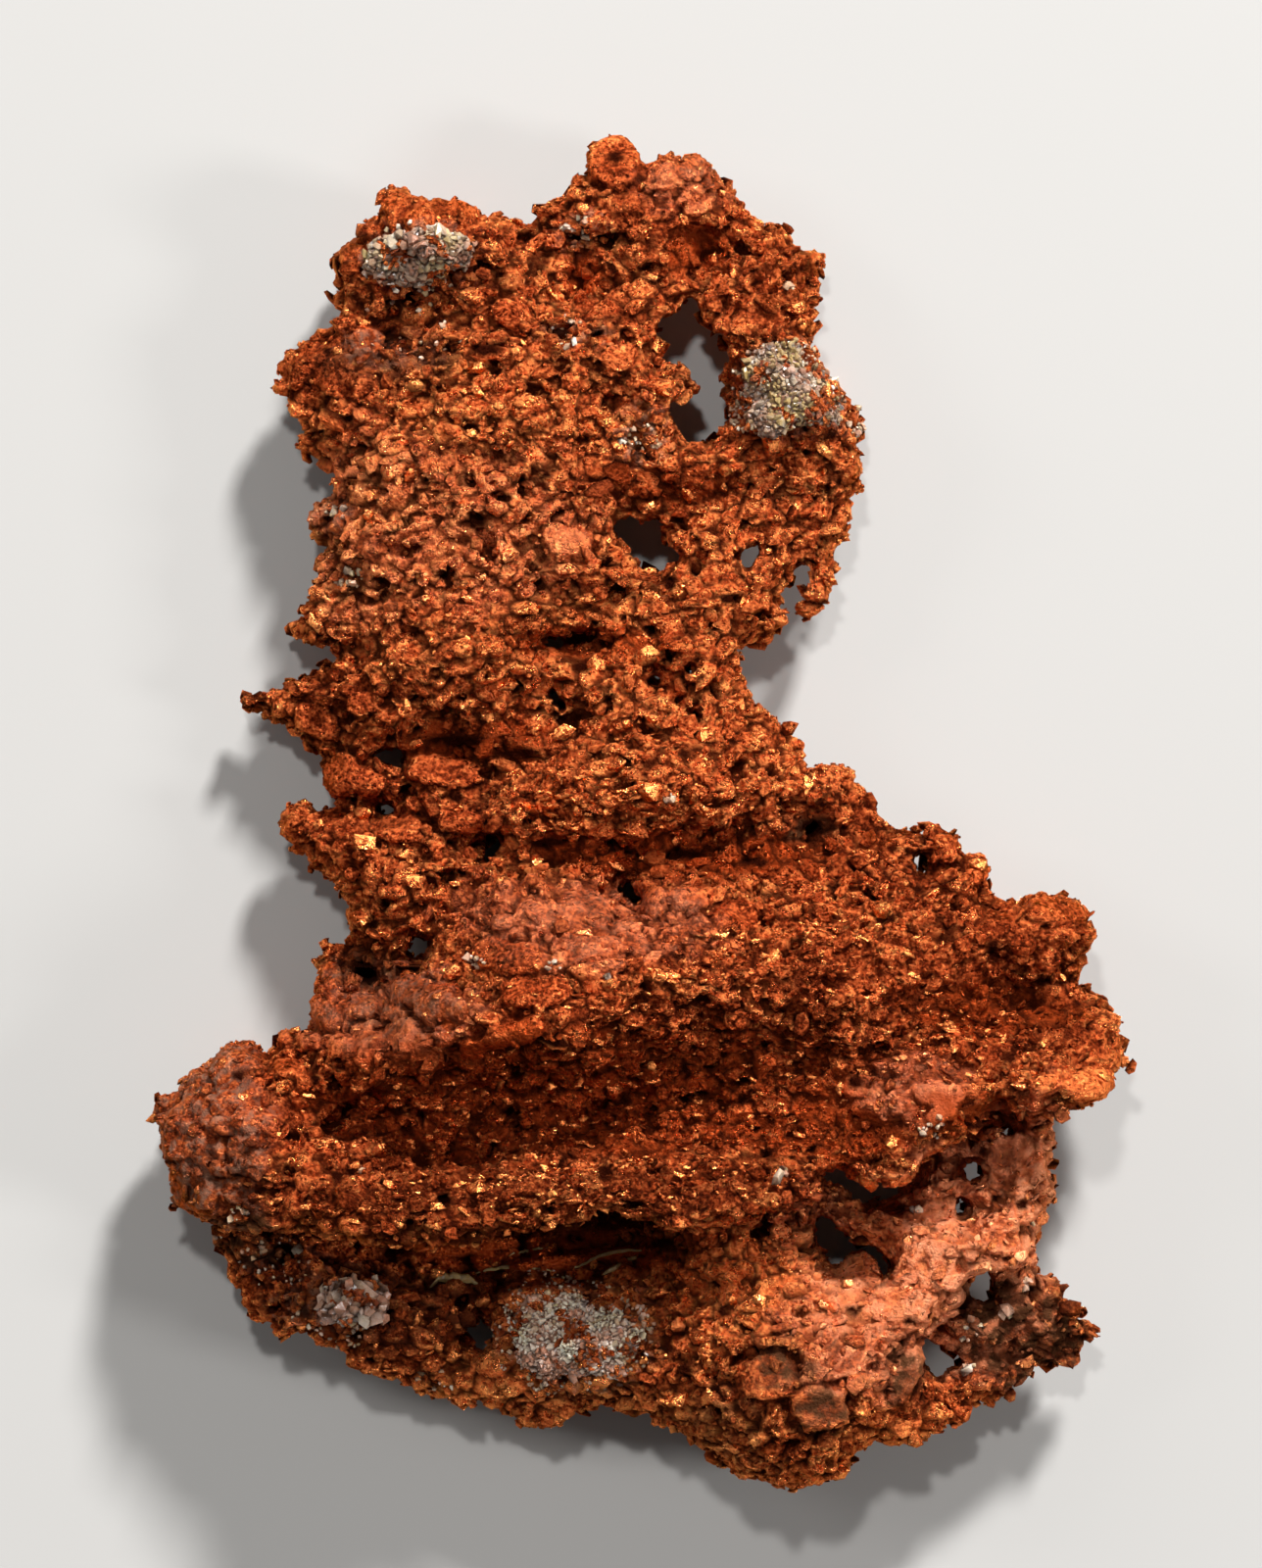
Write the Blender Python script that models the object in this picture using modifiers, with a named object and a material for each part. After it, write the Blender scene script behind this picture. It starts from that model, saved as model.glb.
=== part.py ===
"""Native copper nugget: one spongy, nubbly mass of copper with pale mineral crusts in its hollows.

The nugget lies on its back: its broad figure is in the XY plane with the head at +Y, and its front
faces +Z.  It is built from five overlapping leaves of copper, each an outline with holes that is
given a front and a back by hand-set heights, and then fused into one body, lumped and pitted.
Outlines and spots are drawn on a square grid, counted from the left and from the top.
"""

import bmesh
import bpy
import numpy as np
from mathutils import Vector, kdtree, noise
from mathutils.bvhtree import BVHTree

# ---------------------------------------------------------------- driving dimensions (metres)
MM = 0.001
NUGGET_LENGTH = 96.1 * MM          # tip of the head to the lowest hem
GRID_LENGTH = 1373                 # the same length in squares of the drawing grid
GRID_CENTRE = (655, 826)           # the square that lies over the middle of the figure
SQUARE = NUGGET_LENGTH / GRID_LENGTH

LEAF_HALF = 1.6 * MM               # half thickness of a leaf before its faces are shaped
LEAF_VOXEL = 0.55 * MM
LEAF_LEAST = 2.0 * MM              # no leaf is thinner than this away from its edges
EDGE_STEP = 0.3 * MM               # spacing of the points that edge distances are measured to
WELD = 0.01 * MM
RIM_RADIUS = 2.2 * MM              # how far in from an edge a leaf starts to thin
RIM_KEEP = 0.34                    # share of the thickness left at the edge itself
FUSE_VOXEL = 0.5 * MM

LUMP_CELL = Vector((4.2, 2.7, 3.6)) * MM    # lumps are flattened and lie across the figure
LUMP_HEIGHT = 1.15 * MM
LUMP_LEVEL = 0.35                  # share of a lump that lies under the leaf's own face
WAVE_CELL = Vector((7.6, 3.5, 5.3)) * MM    # slow swells under the lumps
WAVE_HEIGHT = 0.8 * MM
LEDGE_PITCH = 4.6 * MM             # the torso's faint terraces, one below the other
LEDGE_HEIGHT = 0.45 * MM
LEDGE_CELL = Vector((13.0, 6.0, 9.0)) * MM  # the size of the swings that break the terraces up
LEDGE_DRIFT = 1.6                  # how many pitches they swing by

WALL_SHARE = 0.35                  # how much of the relief the side walls and the edges of holes get
BACK_SHARE = 0.55                  # the worn back is plainer than the front

COPPER_TRIANGLES = 8200
REST_CUT = 0.0                     # the lowest lumps of the back are worn flat at this height
REST_BLOCK_DEPTH = 10.0 * MM

CRUST_GAP = 0.3 * MM               # clear of the copper all round
CRUST_RISE = 1.25 * MM             # height of a crust over the copper under it
CRUST_ROOT = 1.5 * MM              # depth that it starts from, before the copper is cut away
CRUST_KNOB = 0.5 * MM
CRUST_FINENESS = 1.6               # its knobs are finer than the copper's lumps by this
CRUST_SPARE = 0.25 * MM            # added to the gap, because thinning its faces moves them a little
OFF_COPPER = 8.0 * MM              # height taken where a crust reaches past the copper's edge
CRUST_VOXEL = 0.4 * MM
CRUST_TRIANGLES = 260

# ---------------------------------------------------------------- the leaves
# Each outline runs once round its leaf.  Heights are (x, y, millimetres above the rest plane).
UPPER_OUTLINE = [
    (549, 274), (540, 258), (537, 240), (524, 226), (505, 218), (490, 217), (474, 209), (455, 212),
    (438, 210), (420, 205), (404, 201), (390, 208), (375, 225), (371, 238), (357, 252), (346, 263),
    (347, 280), (343, 305), (352, 318), (330, 338), (316, 350), (302, 346), (291, 360), (287, 380),
    (279, 404), (287, 415), (303, 420), (310, 440), (300, 450), (302, 465), (318, 475), (330, 475),
    (343, 492), (345, 503), (338, 515), (318, 519), (314, 530), (315, 545), (325, 555), (319, 570),
    (322, 590), (320, 610), (303, 632), (298, 648), (304, 662), (325, 666), (335, 659), (350, 660),
    (368, 656), (378, 663), (370, 674), (350, 673), (335, 690), (315, 688), (300, 692), (275, 702),
    (248, 700), (236, 712), (237, 725), (255, 730), (267, 722), (285, 745), (300, 757), (322, 768),
    (337, 768), (327, 784), (332, 800), (360, 820), (345, 826), (322, 828), (312, 814), (300, 816),
    (282, 832), (279, 860), (300, 868), (304, 878), (320, 880), (335, 900), (355, 907), (370, 905),
    (358, 930), (352, 955), (368, 970), (385, 986), (410, 986), (420, 962), (440, 950), (455, 930),
    (475, 917), (500, 906), (530, 890), (560, 876), (600, 866), (650, 860), (700, 852), (750, 850),
    (800, 860), (850, 862), (888, 850), (890, 830), (887, 815), (873, 812), (873, 795), (865, 782),
    (848, 777), (835, 780), (838, 788), (825, 792), (818, 785), (820, 768), (805, 755), (800, 738),
    (785, 730), (768, 740), (778, 725), (778, 717), (765, 708), (752, 692), (757, 680), (748, 662),
    (775, 663), (790, 660), (797, 645), (800, 635), (795, 612), (797, 600), (806, 590), (815, 570),
    (817, 550), (819, 532), (823, 540), (824, 560), (828, 580), (825, 600), (817, 610), (817, 622),
    (822, 630), (835, 628), (852, 615), (858, 600), (860, 580), (858, 560), (860, 545), (870, 535),
    (874, 508), (880, 500), (886, 485), (880, 455), (882, 445), (878, 428), (870, 415), (872, 405),
    (855, 395), (850, 380), (835, 375), (832, 360), (835, 350), (832, 338), (818, 334), (835, 322),
    (830, 315), (832, 300), (830, 290), (838, 272), (832, 262), (815, 252), (806, 255), (803, 232),
    (790, 225), (768, 217), (760, 228), (757, 245), (750, 228), (757, 221), (744, 208), (757, 200),
    (748, 187), (725, 175), (718, 163), (712, 158), (700, 160), (688, 158), (678, 160), (665, 170),
    (651, 187), (655, 175), (655, 165), (650, 155), (640, 141), (625, 141), (612, 148), (600, 158),
    (598, 170), (599, 182), (605, 193), (590, 185), (580, 190), (578, 200), (565, 203), (552, 212),
    (546, 232), (548, 255), (558, 268),
]
UPPER_HOLES = [
    [(667, 335), (679, 324), (692, 320), (699, 306), (707, 301), (714, 313), (716, 327), (724, 336),
     (740, 344), (741, 360), (741, 372), (739, 392), (736, 408), (744, 420), (747, 432), (738, 444),
     (724, 453), (709, 450), (694, 445), (686, 430), (684, 416), (698, 412), (710, 411), (719, 402),
     (719, 390), (712, 384), (702, 380), (700, 371), (684, 374), (673, 363), (674, 350)],
    [(630, 532), (640, 527), (658, 535), (683, 530), (667, 550), (690, 560), (692, 575), (675, 583),
     (650, 575), (640, 560), (630, 558)],
    [(758, 566), (775, 554), (778, 565), (766, 584), (754, 582)],
    [(548, 652), (575, 650), (600, 652), (598, 661), (570, 662), (556, 659)],
    [(560, 705), (570, 703), (575, 715), (590, 724), (600, 738), (585, 740), (572, 728), (562, 718)],
    [(688, 706), (700, 718), (712, 728), (712, 738), (704, 735), (697, 722), (688, 716)],
    [(658, 694), (680, 684), (686, 690), (674, 700), (662, 702)],
    [(400, 766), (412, 760), (414, 782), (402, 784)],
    [(382, 822), (400, 820), (402, 833), (384, 836)],
    [(488, 872), (496, 852), (510, 853), (513, 868), (500, 885)],
]
UPPER_FRONT = [
    (630, 165, 8.5), (690, 200, 9.5), (600, 225, 9.5), (740, 210, 8.5), (440, 250, 12.5),
    (380, 240, 9.0), (500, 235, 10.0), (355, 290, 9.0), (420, 322, 8.2), (480, 310, 10.0),
    (530, 280, 9.0), (300, 380, 8.0), (350, 375, 10.0), (450, 360, 11.0), (500, 364, 9.8),
    (560, 340, 11.0), (600, 284, 8.2), (650, 260, 10.8), (715, 262, 8.4), (780, 240, 8.5),
    (815, 300, 9.0), (770, 300, 11.0), (640, 340, 10.5), (760, 390, 11.0), (820, 400, 11.0),
    (868, 425, 9.0), (780, 450, 11.5), (860, 475, 9.5), (320, 435, 8.5), (400, 430, 11.0),
    (480, 440, 11.5), (560, 430, 12.0), (650, 430, 11.0), (660, 497, 9.2), (740, 500, 9.4),
    (700, 470, 11.2), (845, 530, 9.0), (840, 600, 7.5), (335, 525, 8.5), (400, 540, 11.0),
    (500, 540, 12.5), (590, 540, 12.0), (620, 600, 12.0), (720, 560, 10.8), (785, 600, 9.5),
    (325, 620, 8.5), (420, 630, 11.5), (520, 620, 12.5), (600, 658, 9.8), (680, 640, 12.0),
    (760, 640, 10.0), (250, 715, 6.5), (310, 710, 8.0), (330, 745, 7.5), (420, 700, 12.0),
    (500, 700, 13.0), (600, 700, 12.6), (700, 690, 12.0), (765, 720, 9.5), (480, 758, 9.4),
    (400, 775, 9.0), (560, 762, 10.5), (640, 760, 12.5), (720, 770, 12.0), (790, 775, 10.5),
    (340, 800, 8.5), (300, 845, 8.0), (380, 850, 10.0), (440, 830, 10.0), (540, 820, 13.0),
    (620, 815, 14.5), (690, 825, 14.0), (760, 820, 12.5), (850, 800, 9.5), (620, 876, 10.5),
    (700, 880, 10.5), (780, 872, 11.0), (865, 850, 9.5), (470, 890, 11.5), (400, 910, 11.0),
    (345, 890, 8.5), (370, 960, 9.5),
]
UPPER_BACK = [
    (440, 260, -0.6), (630, 170, 4.0), (370, 370, 3.0), (560, 330, 2.6), (690, 220, 3.2),
    (800, 420, -0.8), (845, 560, 3.4), (500, 480, 1.6), (340, 540, 3.4), (650, 540, 3.0),
    (350, 650, -0.3), (250, 715, 3.0), (560, 700, 1.2), (760, 650, 3.4), (480, 820, 0.6),
    (310, 850, 3.2), (640, 850, 1.0), (830, 800, 3.0), (720, 330, 3.6), (380, 950, 2.6),
]

MIDDLE_OUTLINE = [
    (326, 985), (338, 965), (380, 950), (450, 900), (520, 860), (600, 840), (700, 830), (800, 825),
    (860, 825), (895, 834), (905, 827), (917, 830), (925, 842), (945, 838), (965, 845), (978, 868),
    (990, 876), (1005, 878), (1012, 885), (1006, 902), (1012, 920), (1030, 922), (1045, 914),
    (1065, 915), (1085, 920), (1102, 919), (1112, 928), (1113, 940), (1118, 960), (1115, 970),
    (1085, 985), (1103, 990), (1100, 1000), (1118, 1015), (1130, 1015), (1140, 1025), (1140, 1040),
    (1132, 1048), (1145, 1065), (1152, 1080), (1148, 1095), (1130, 1108), (1115, 1117), (1095, 1123),
    (1078, 1127), (1070, 1140), (1050, 1140), (1020, 1130), (1000, 1143), (960, 1165), (936, 1184),
    (924, 1208), (896, 1206), (869, 1202), (864, 1190), (844, 1185), (832, 1215), (800, 1222),
    (750, 1235), (690, 1250), (640, 1230), (600, 1236), (560, 1241), (520, 1248), (480, 1258),
    (440, 1265), (400, 1262), (350, 1258), (300, 1252), (250, 1254), (212, 1248), (200, 1243),
    (185, 1232), (173, 1222), (177, 1203), (172, 1192), (178, 1182), (165, 1170), (158, 1150),
    (157, 1130), (163, 1122), (175, 1117), (188, 1118), (195, 1097), (222, 1080), (230, 1064),
    (245, 1060), (262, 1068), (270, 1080), (288, 1070), (280, 1050), (290, 1044), (305, 1060),
    (325, 1045), (318, 1030), (315, 1012), (330, 1005),
]
MIDDLE_HOLES = [
    [(416, 962), (428, 956), (440, 962), (438, 980), (422, 982)],
    [(630, 897), (640, 895), (648, 905), (657, 920), (648, 925), (636, 912)],
    [(934, 890), (940, 868), (948, 868), (948, 888), (940, 896)],
]
MIDDLE_FRONT = [
    (345, 1000, 9.5), (400, 965, 11.5), (376, 993, 8.5), (450, 975, 12.5), (440, 1015, 16.5),
    (400, 1035, 14.5), (340, 1030, 11.5), (330, 1065, 11.5), (500, 905, 13.0), (560, 890, 12.6),
    (640, 880, 11.5), (700, 897, 13.5), (540, 960, 17.5), (620, 950, 17.5), (700, 938, 17.6),
    (640, 1000, 21.0), (560, 1025, 21.6), (480, 1050, 21.0), (400, 1076, 18.6), (740, 975, 19.0),
    (500, 1110, 15.4), (600, 1095, 15.8), (700, 1055, 16.2), (400, 1150, 13.0), (500, 1165, 13.0),
    (600, 1162, 13.4), (700, 1140, 13.8), (800, 1075, 15.2), (800, 1140, 14.4), (340, 1110, 13.4),
    (830, 985, 18.0), (650, 1030, 19.6), (250, 1225, 14.5), (300, 1225, 16.5), (400, 1225, 20.0),
    (480, 1215, 20.6), (560, 1205, 21.0), (640, 1205, 20.4), (700, 1218, 19.4), (765, 1200, 18.6),
    (828, 1182, 17.6), (760, 930, 14.8), (820, 900, 11.6), (828, 846, 8.8), (885, 865, 9.6),
    (900, 905, 12.2), (950, 865, 10.0), (840, 960, 16.0), (920, 960, 15.6), (975, 905, 11.8),
    (1000, 960, 14.6), (1060, 945, 14.4), (1105, 935, 12.0), (1030, 1030, 11.2), (960, 1040, 14.2),
    (880, 1050, 17.0), (1085, 1025, 10.6), (1125, 1035, 12.0), (1060, 1090, 17.4), (1115, 1090, 15.0),
    (1146, 1080, 12.6), (960, 1110, 17.0), (890, 1160, 17.0), (1010, 1122, 16.8), (200, 1110, 11.0),
    (240, 1080, 11.0), (175, 1150, 10.6), (230, 1150, 14.6), (190, 1205, 11.2), (285, 1150, 14.4),
    (290, 1090, 11.8),
]
MIDDLE_BACK = [
    (340, 1010, 2.4), (450, 940, 1.2), (620, 900, 0.8), (820, 880, 2.0), (960, 880, 3.4),
    (1080, 940, 3.6), (1000, 1030, -0.6), (1120, 1060, 3.2), (880, 1100, 1.2), (700, 1050, 0.8),
    (500, 1050, 1.0), (180, 1160, 3.8), (240, 1120, -0.5), (300, 1110, 1.6), (400, 1150, 5.0),
    (520, 1150, 6.5), (640, 1150, 6.5), (300, 1250, 8.0), (400, 1215, 13.0), (480, 1205, 13.8),
    (560, 1200, 14.2), (640, 1200, 14.0), (400, 1262, 13.6), (480, 1256, 14.6), (560, 1242, 15.0),
    (640, 1234, 14.6), (710, 1240, 9.0), (790, 1200, 6.0), (900, 1170, 7.5), (1010, 1130, 8.5),
    (720, 1150, 5.0), (210, 1220, 4.0),
]

LEFT_HEM_OUTLINE = [
    (240, 1215), (222, 1250), (218, 1262), (230, 1290), (240, 1305), (240, 1322), (262, 1347),
    (275, 1352), (290, 1350), (290, 1360), (310, 1366), (352, 1370), (358, 1385), (370, 1394),
    (385, 1408), (420, 1415), (430, 1422), (475, 1430), (495, 1428), (500, 1440), (512, 1452),
    (530, 1450), (545, 1457), (570, 1455), (590, 1447), (612, 1432), (622, 1440), (635, 1442),
    (645, 1435), (690, 1430), (720, 1380), (735, 1300), (745, 1240), (740, 1160), (600, 1130),
    (450, 1130), (300, 1160),
]
LEFT_HEM_HOLES = [
    [(475, 1360), (485, 1347), (492, 1343), (498, 1354), (512, 1362), (500, 1370), (492, 1385), (484, 1372)],
]
LEFT_HEM_FRONT = [
    (300, 1180, 8.0), (600, 1160, 7.5), (450, 1160, 7.5), (240, 1255, 8.4), (232, 1300, 7.4),
    (300, 1335, 10.4), (365, 1320, 11.6), (300, 1275, 8.0), (400, 1275, 6.6), (480, 1270, 6.2),
    (560, 1262, 6.2), (640, 1266, 6.4), (705, 1280, 10.4), (480, 1315, 8.4), (540, 1325, 9.6),
    (585, 1365, 12.0), (645, 1360, 12.6), (520, 1405, 10.6), (440, 1385, 10.4), (395, 1395, 8.8),
    (600, 1425, 10.0), (685, 1400, 13.0), (500, 1440, 8.6), (560, 1448, 8.4), (720, 1200, 12.0),
    (420, 1335, 9.4),
]
LEFT_HEM_BACK = [
    (300, 1200, 0.8), (600, 1180, 1.6), (250, 1300, 2.6), (400, 1350, 0.6), (560, 1390, -0.8),
    (640, 1280, 1.4), (480, 1260, 1.6), (700, 1380, 1.4), (420, 1410, 2.4),
]

RIGHT_HEM_OUTLINE = [
    (636, 1425), (660, 1440), (675, 1450), (690, 1462), (705, 1462), (720, 1472), (735, 1490),
    (750, 1502), (775, 1512), (820, 1512), (845, 1508), (862, 1500), (866, 1483), (880, 1467),
    (905, 1468), (913, 1465), (922, 1487), (932, 1472), (960, 1455), (975, 1452), (990, 1442),
    (975, 1425), (964, 1402), (948, 1400), (938, 1370), (945, 1362), (965, 1345), (976, 1335),
    (979, 1312), (990, 1300), (1015, 1300), (1045, 1292), (1055, 1270), (1052, 1258), (1070, 1235),
    (1075, 1215), (1070, 1180), (1072, 1165), (1068, 1135), (1060, 1105), (1000, 1110), (945, 1140),
    (928, 1165), (928, 1212), (915, 1220), (900, 1221), (880, 1224), (864, 1217), (850, 1203),
    (838, 1212), (820, 1200), (790, 1185), (740, 1180), (680, 1190), (610, 1240), (590, 1320),
    (600, 1390),
]
RIGHT_HEM_HOLES = [
    [(830, 1240), (845, 1240), (852, 1256), (880, 1265), (910, 1281), (912, 1303), (903, 1302), (897, 1286),
     (880, 1273), (862, 1285), (847, 1300), (845, 1288), (836, 1272)],
    [(1018, 1152), (1022, 1143), (1032, 1144), (1037, 1153), (1030, 1161), (1021, 1160)],
    [(975, 1200), (988, 1183), (1000, 1185), (1002, 1203), (985, 1200)],
    [(969, 1234), (976, 1220), (987, 1221), (984, 1236), (975, 1244)],
]
RIGHT_HEM_FRONT = [
    (765, 1205, 12.0), (700, 1240, 12.8), (850, 1225, 10.0), (915, 1205, 9.6), (1000, 1160, 10.2),
    (1050, 1125, 12.6), (720, 1295, 13.4), (790, 1290, 13.4), (868, 1300, 12.6), (930, 1280, 13.6),
    (1000, 1255, 13.6), (1058, 1200, 12.2), (1040, 1265, 12.4), (960, 1320, 14.6), (900, 1350, 16.0),
    (800, 1400, 18.6), (790, 1480, 15.6), (852, 1470, 16.0), (740, 1425, 15.6), (690, 1445, 11.6),
    (655, 1415, 11.6), (900, 1440, 14.6), (965, 1435, 11.0), (925, 1390, 14.2), (868, 1400, 17.2),
    (660, 1340, 12.0), (625, 1270, 4.6), (612, 1330, 7.0), (615, 1395, 8.4), (660, 1262, 8.6),
    (690, 1330, 12.8),
]
RIGHT_HEM_BACK = [
    (700, 1250, 1.4), (860, 1250, 2.8), (1000, 1180, 3.2), (1040, 1250, 2.8), (720, 1400, 1.4),
    (880, 1400, -0.8), (800, 1490, 2.6), (950, 1300, 2.0), (960, 1430, 3.0), (780, 1300, 1.4),
]

CLUSTER_OUTLINE = [
    (1012, 1290), (1010, 1318), (995, 1318), (990, 1326), (998, 1343), (985, 1346), (968, 1346),
    (963, 1360), (950, 1366), (956, 1376), (985, 1385), (990, 1395), (972, 1395), (960, 1402),
    (952, 1418), (960, 1440), (975, 1448), (990, 1442), (1005, 1435), (1018, 1443), (1024, 1437),
    (1012, 1420), (1040, 1418), (1046, 1405), (1052, 1396), (1078, 1398), (1085, 1405), (1095, 1392),
    (1113, 1393), (1110, 1372), (1120, 1362), (1118, 1350), (1105, 1350), (1088, 1330), (1088, 1305),
    (1080, 1297), (1068, 1297), (1055, 1270), (1030, 1275),
]
CLUSTER_FRONT = [
    (1030, 1300, 10.4), (1075, 1312, 9.0), (1000, 1365, 10.4), (1050, 1355, 9.6), (1105, 1372, 7.4),
    (975, 1405, 9.6), (1020, 1405, 9.0), (1085, 1392, 7.4), (1000, 1432, 7.6), (965, 1362, 10.8),
]
CLUSTER_BACK = [
    (1030, 1295, 3.0), (1085, 1320, 4.0), (1010, 1370, 2.8), (1100, 1375, 3.8), (980, 1425, 3.2),
    (1060, 1390, 3.6),
]

LEAVES = {
    "upper": (UPPER_OUTLINE, UPPER_HOLES, UPPER_FRONT, UPPER_BACK),
    "middle": (MIDDLE_OUTLINE, MIDDLE_HOLES, MIDDLE_FRONT, MIDDLE_BACK),
    "left_hem": (LEFT_HEM_OUTLINE, LEFT_HEM_HOLES, LEFT_HEM_FRONT, LEFT_HEM_BACK),
    "right_hem": (RIGHT_HEM_OUTLINE, RIGHT_HEM_HOLES, RIGHT_HEM_FRONT, RIGHT_HEM_BACK),
    "cluster": (CLUSTER_OUTLINE, [], CLUSTER_FRONT, CLUSTER_BACK),
}

# Pits: (x, y, radius in millimetres, depth in millimetres), pressed into the front.
PITS = [
    (376, 993, 1.8, 2.4), (828, 846, 1.6, 2.0), (600, 284, 1.6, 1.6), (715, 262, 1.9, 1.8),
    (405, 320, 2.4, 1.8), (630, 166, 0.9, 1.2), (590, 660, 1.8, 1.4), (640, 665, 1.6, 1.2),
    (700, 300, 1.6, 1.2), (460, 756, 2.6, 1.4), (540, 768, 2.0, 1.2), (470, 1100, 2.2, 1.4),
    (590, 1150, 2.4, 1.2), (360, 1150, 2.2, 1.4), (720, 1140, 2.0, 1.0), (820, 1030, 1.8, 1.0),
    (1040, 1040, 2.0, 1.4), (900, 1010, 1.6, 0.9), (790, 1385, 1.4, 1.2), (560, 860, 2.0, 1.0),
]

CRUSTS = {
    "crystals_in_head": [
        (368, 262), (385, 240), (430, 236), (470, 238), (492, 252), (486, 278), (455, 290), (420, 300),
        (388, 302), (370, 286),
    ],
    "crystals_on_shoulder": [
        (748, 420), (752, 385), (775, 352), (806, 342), (832, 362), (846, 385), (872, 402), (876, 432),
        (856, 452), (820, 440), (790, 452), (762, 446),
    ],
    "crystals_on_hem": [
        (512, 1350), (525, 1318), (565, 1308), (610, 1316), (650, 1332), (662, 1366), (644, 1398),
        (600, 1408), (560, 1412), (528, 1392),
    ],
    "crystals_on_left_hem": [
        (318, 1330), (330, 1302), (362, 1294), (396, 1300), (410, 1322), (396, 1346), (360, 1356),
        (330, 1352),
    ],
}


# ---------------------------------------------------------------- helpers
def to_metres(spot):
    """A point of the drawing grid in the part's own frame."""
    return ((spot[0] - GRID_CENTRE[0]) * SQUARE, (GRID_CENTRE[1] - spot[1]) * SQUARE)


def clear_scene():
    """Remove whatever the opened file holds."""
    for thing in list(bpy.data.objects):
        bpy.data.objects.remove(thing, do_unlink=True)


def new_collection(name):
    """A collection linked into the scene."""
    collection = bpy.data.collections.new(name)
    bpy.context.scene.collection.children.link(collection)
    return collection


def new_material(name, colour, metallic, roughness):
    """A plain Principled material."""
    material = bpy.data.materials.new(name)
    material.use_nodes = True
    shader = material.node_tree.nodes["Principled BSDF"]
    shader.inputs["Base Color"].default_value = (*colour, 1.0)
    shader.inputs["Metallic"].default_value = metallic
    shader.inputs["Roughness"].default_value = roughness
    return material


def add_object(name, mesh, collection):
    """Link a mesh as a named object."""
    thing = bpy.data.objects.new(name, mesh)
    collection.objects.link(thing)
    return thing


def bake(thing):
    """Turn an object's evaluated shape, with its modifiers, into its own mesh."""
    depsgraph = bpy.context.evaluated_depsgraph_get()
    depsgraph.update()
    mesh = bpy.data.meshes.new_from_object(thing.evaluated_get(depsgraph), depsgraph=depsgraph)
    thing.modifiers.clear()
    thing.data = mesh


def remesh(thing, voxel):
    """Rebuild an object's skin on an even voxel grid, which also fuses its overlapping shells."""
    modifier = thing.modifiers.new("Even skin", "REMESH")
    modifier.mode = "VOXEL"
    modifier.voxel_size = voxel
    bake(thing)


def thin_out(thing, triangles):
    """Reduce an object to about a number of triangles."""
    mesh_to_triangles(thing.data)
    modifier = thing.modifiers.new("Fewer faces", "DECIMATE")
    modifier.ratio = min(1.0, triangles / len(thing.data.polygons))
    modifier.use_collapse_triangulate = True
    bake(thing)


def mesh_to_triangles(mesh):
    """Split every face of a mesh into triangles."""
    work = bmesh.new()
    work.from_mesh(mesh)
    bmesh.ops.triangulate(work, faces=work.faces)
    work.to_mesh(mesh)
    work.free()


def points_of(mesh):
    """A mesh's vertices as an array."""
    flat = np.empty(len(mesh.vertices) * 3)
    mesh.vertices.foreach_get("co", flat)
    return flat.reshape(-1, 3)


def normals_of(mesh):
    """A mesh's vertex normals as an array."""
    flat = np.empty(len(mesh.vertices) * 3)
    mesh.vertices.foreach_get("normal", flat)
    return flat.reshape(-1, 3)


def set_points(mesh, points):
    """Write an array back to a mesh's vertices."""
    mesh.vertices.foreach_set("co", points.ravel())
    mesh.update()


# ---------------------------------------------------------------- heights
def plate_kernel(squared):
    """The thin-plate function of a squared distance."""
    return 0.5 * squared * np.log(squared + 1e-9)


class HeightField:
    """A smooth height over the plane through a few hand-set spots, as a bent thin plate."""

    STIFFNESS = 0.02                # how far the plate may miss its spots, to stay smooth
    UNIT = 10.0 * MM                # distances are measured in this, to keep the sums well scaled

    def __init__(self, spots):
        places = np.array([to_metres(spot) for spot in spots]) / self.UNIT
        heights = np.array([spot[2] for spot in spots]) * MM
        count = len(spots)
        gaps = ((places[:, None, :] - places[None, :, :]) ** 2).sum(axis=2)
        flat = np.hstack([np.ones((count, 1)), places])
        system = np.zeros((count + 3, count + 3))
        system[:count, :count] = plate_kernel(gaps) + self.STIFFNESS * np.eye(count)
        system[:count, count:] = flat
        system[count:, :count] = flat.T
        solution = np.linalg.solve(system, np.concatenate([heights, np.zeros(3)]))
        self.places = places
        self.weights = solution[:count]
        self.slope = solution[count:]
        self.lowest = heights.min()
        self.highest = heights.max()

    def at(self, points):
        """Heights over an array of XY points in metres."""
        scaled = points[:, :2] / self.UNIT
        gaps = ((scaled[:, None, :] - self.places[None, :, :]) ** 2).sum(axis=2)
        bent = plate_kernel(gaps) @ self.weights
        tilted = self.slope[0] + scaled @ self.slope[1:]
        return np.clip(bent + tilted, self.lowest, self.highest)


# ---------------------------------------------------------------- leaves
def outline_plate(name, rings, collection):
    """A flat plate of an outline and its holes, as a closed mesh."""
    curve = bpy.data.curves.new(name, "CURVE")
    curve.dimensions = "2D"
    curve.fill_mode = "BOTH"
    curve.extrude = LEAF_HALF
    curve.resolution_u = 3
    for ring in rings:
        spline = curve.splines.new("BEZIER")
        spline.bezier_points.add(len(ring) - 1)
        for knot, spot in zip(spline.bezier_points, ring):
            x, y = to_metres(spot)
            knot.co = (x, y, 0.0)
            knot.handle_left_type = "AUTO"
            knot.handle_right_type = "AUTO"
        spline.use_cyclic_u = True
    source = bpy.data.objects.new(name + "_outline", curve)
    collection.objects.link(source)
    depsgraph = bpy.context.evaluated_depsgraph_get()
    mesh = bpy.data.meshes.new_from_object(source.evaluated_get(depsgraph), depsgraph=depsgraph)
    plate = add_object(name, mesh, collection)
    plate.matrix_world = source.matrix_world
    bpy.data.objects.remove(source)
    weld(mesh)
    return plate


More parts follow.
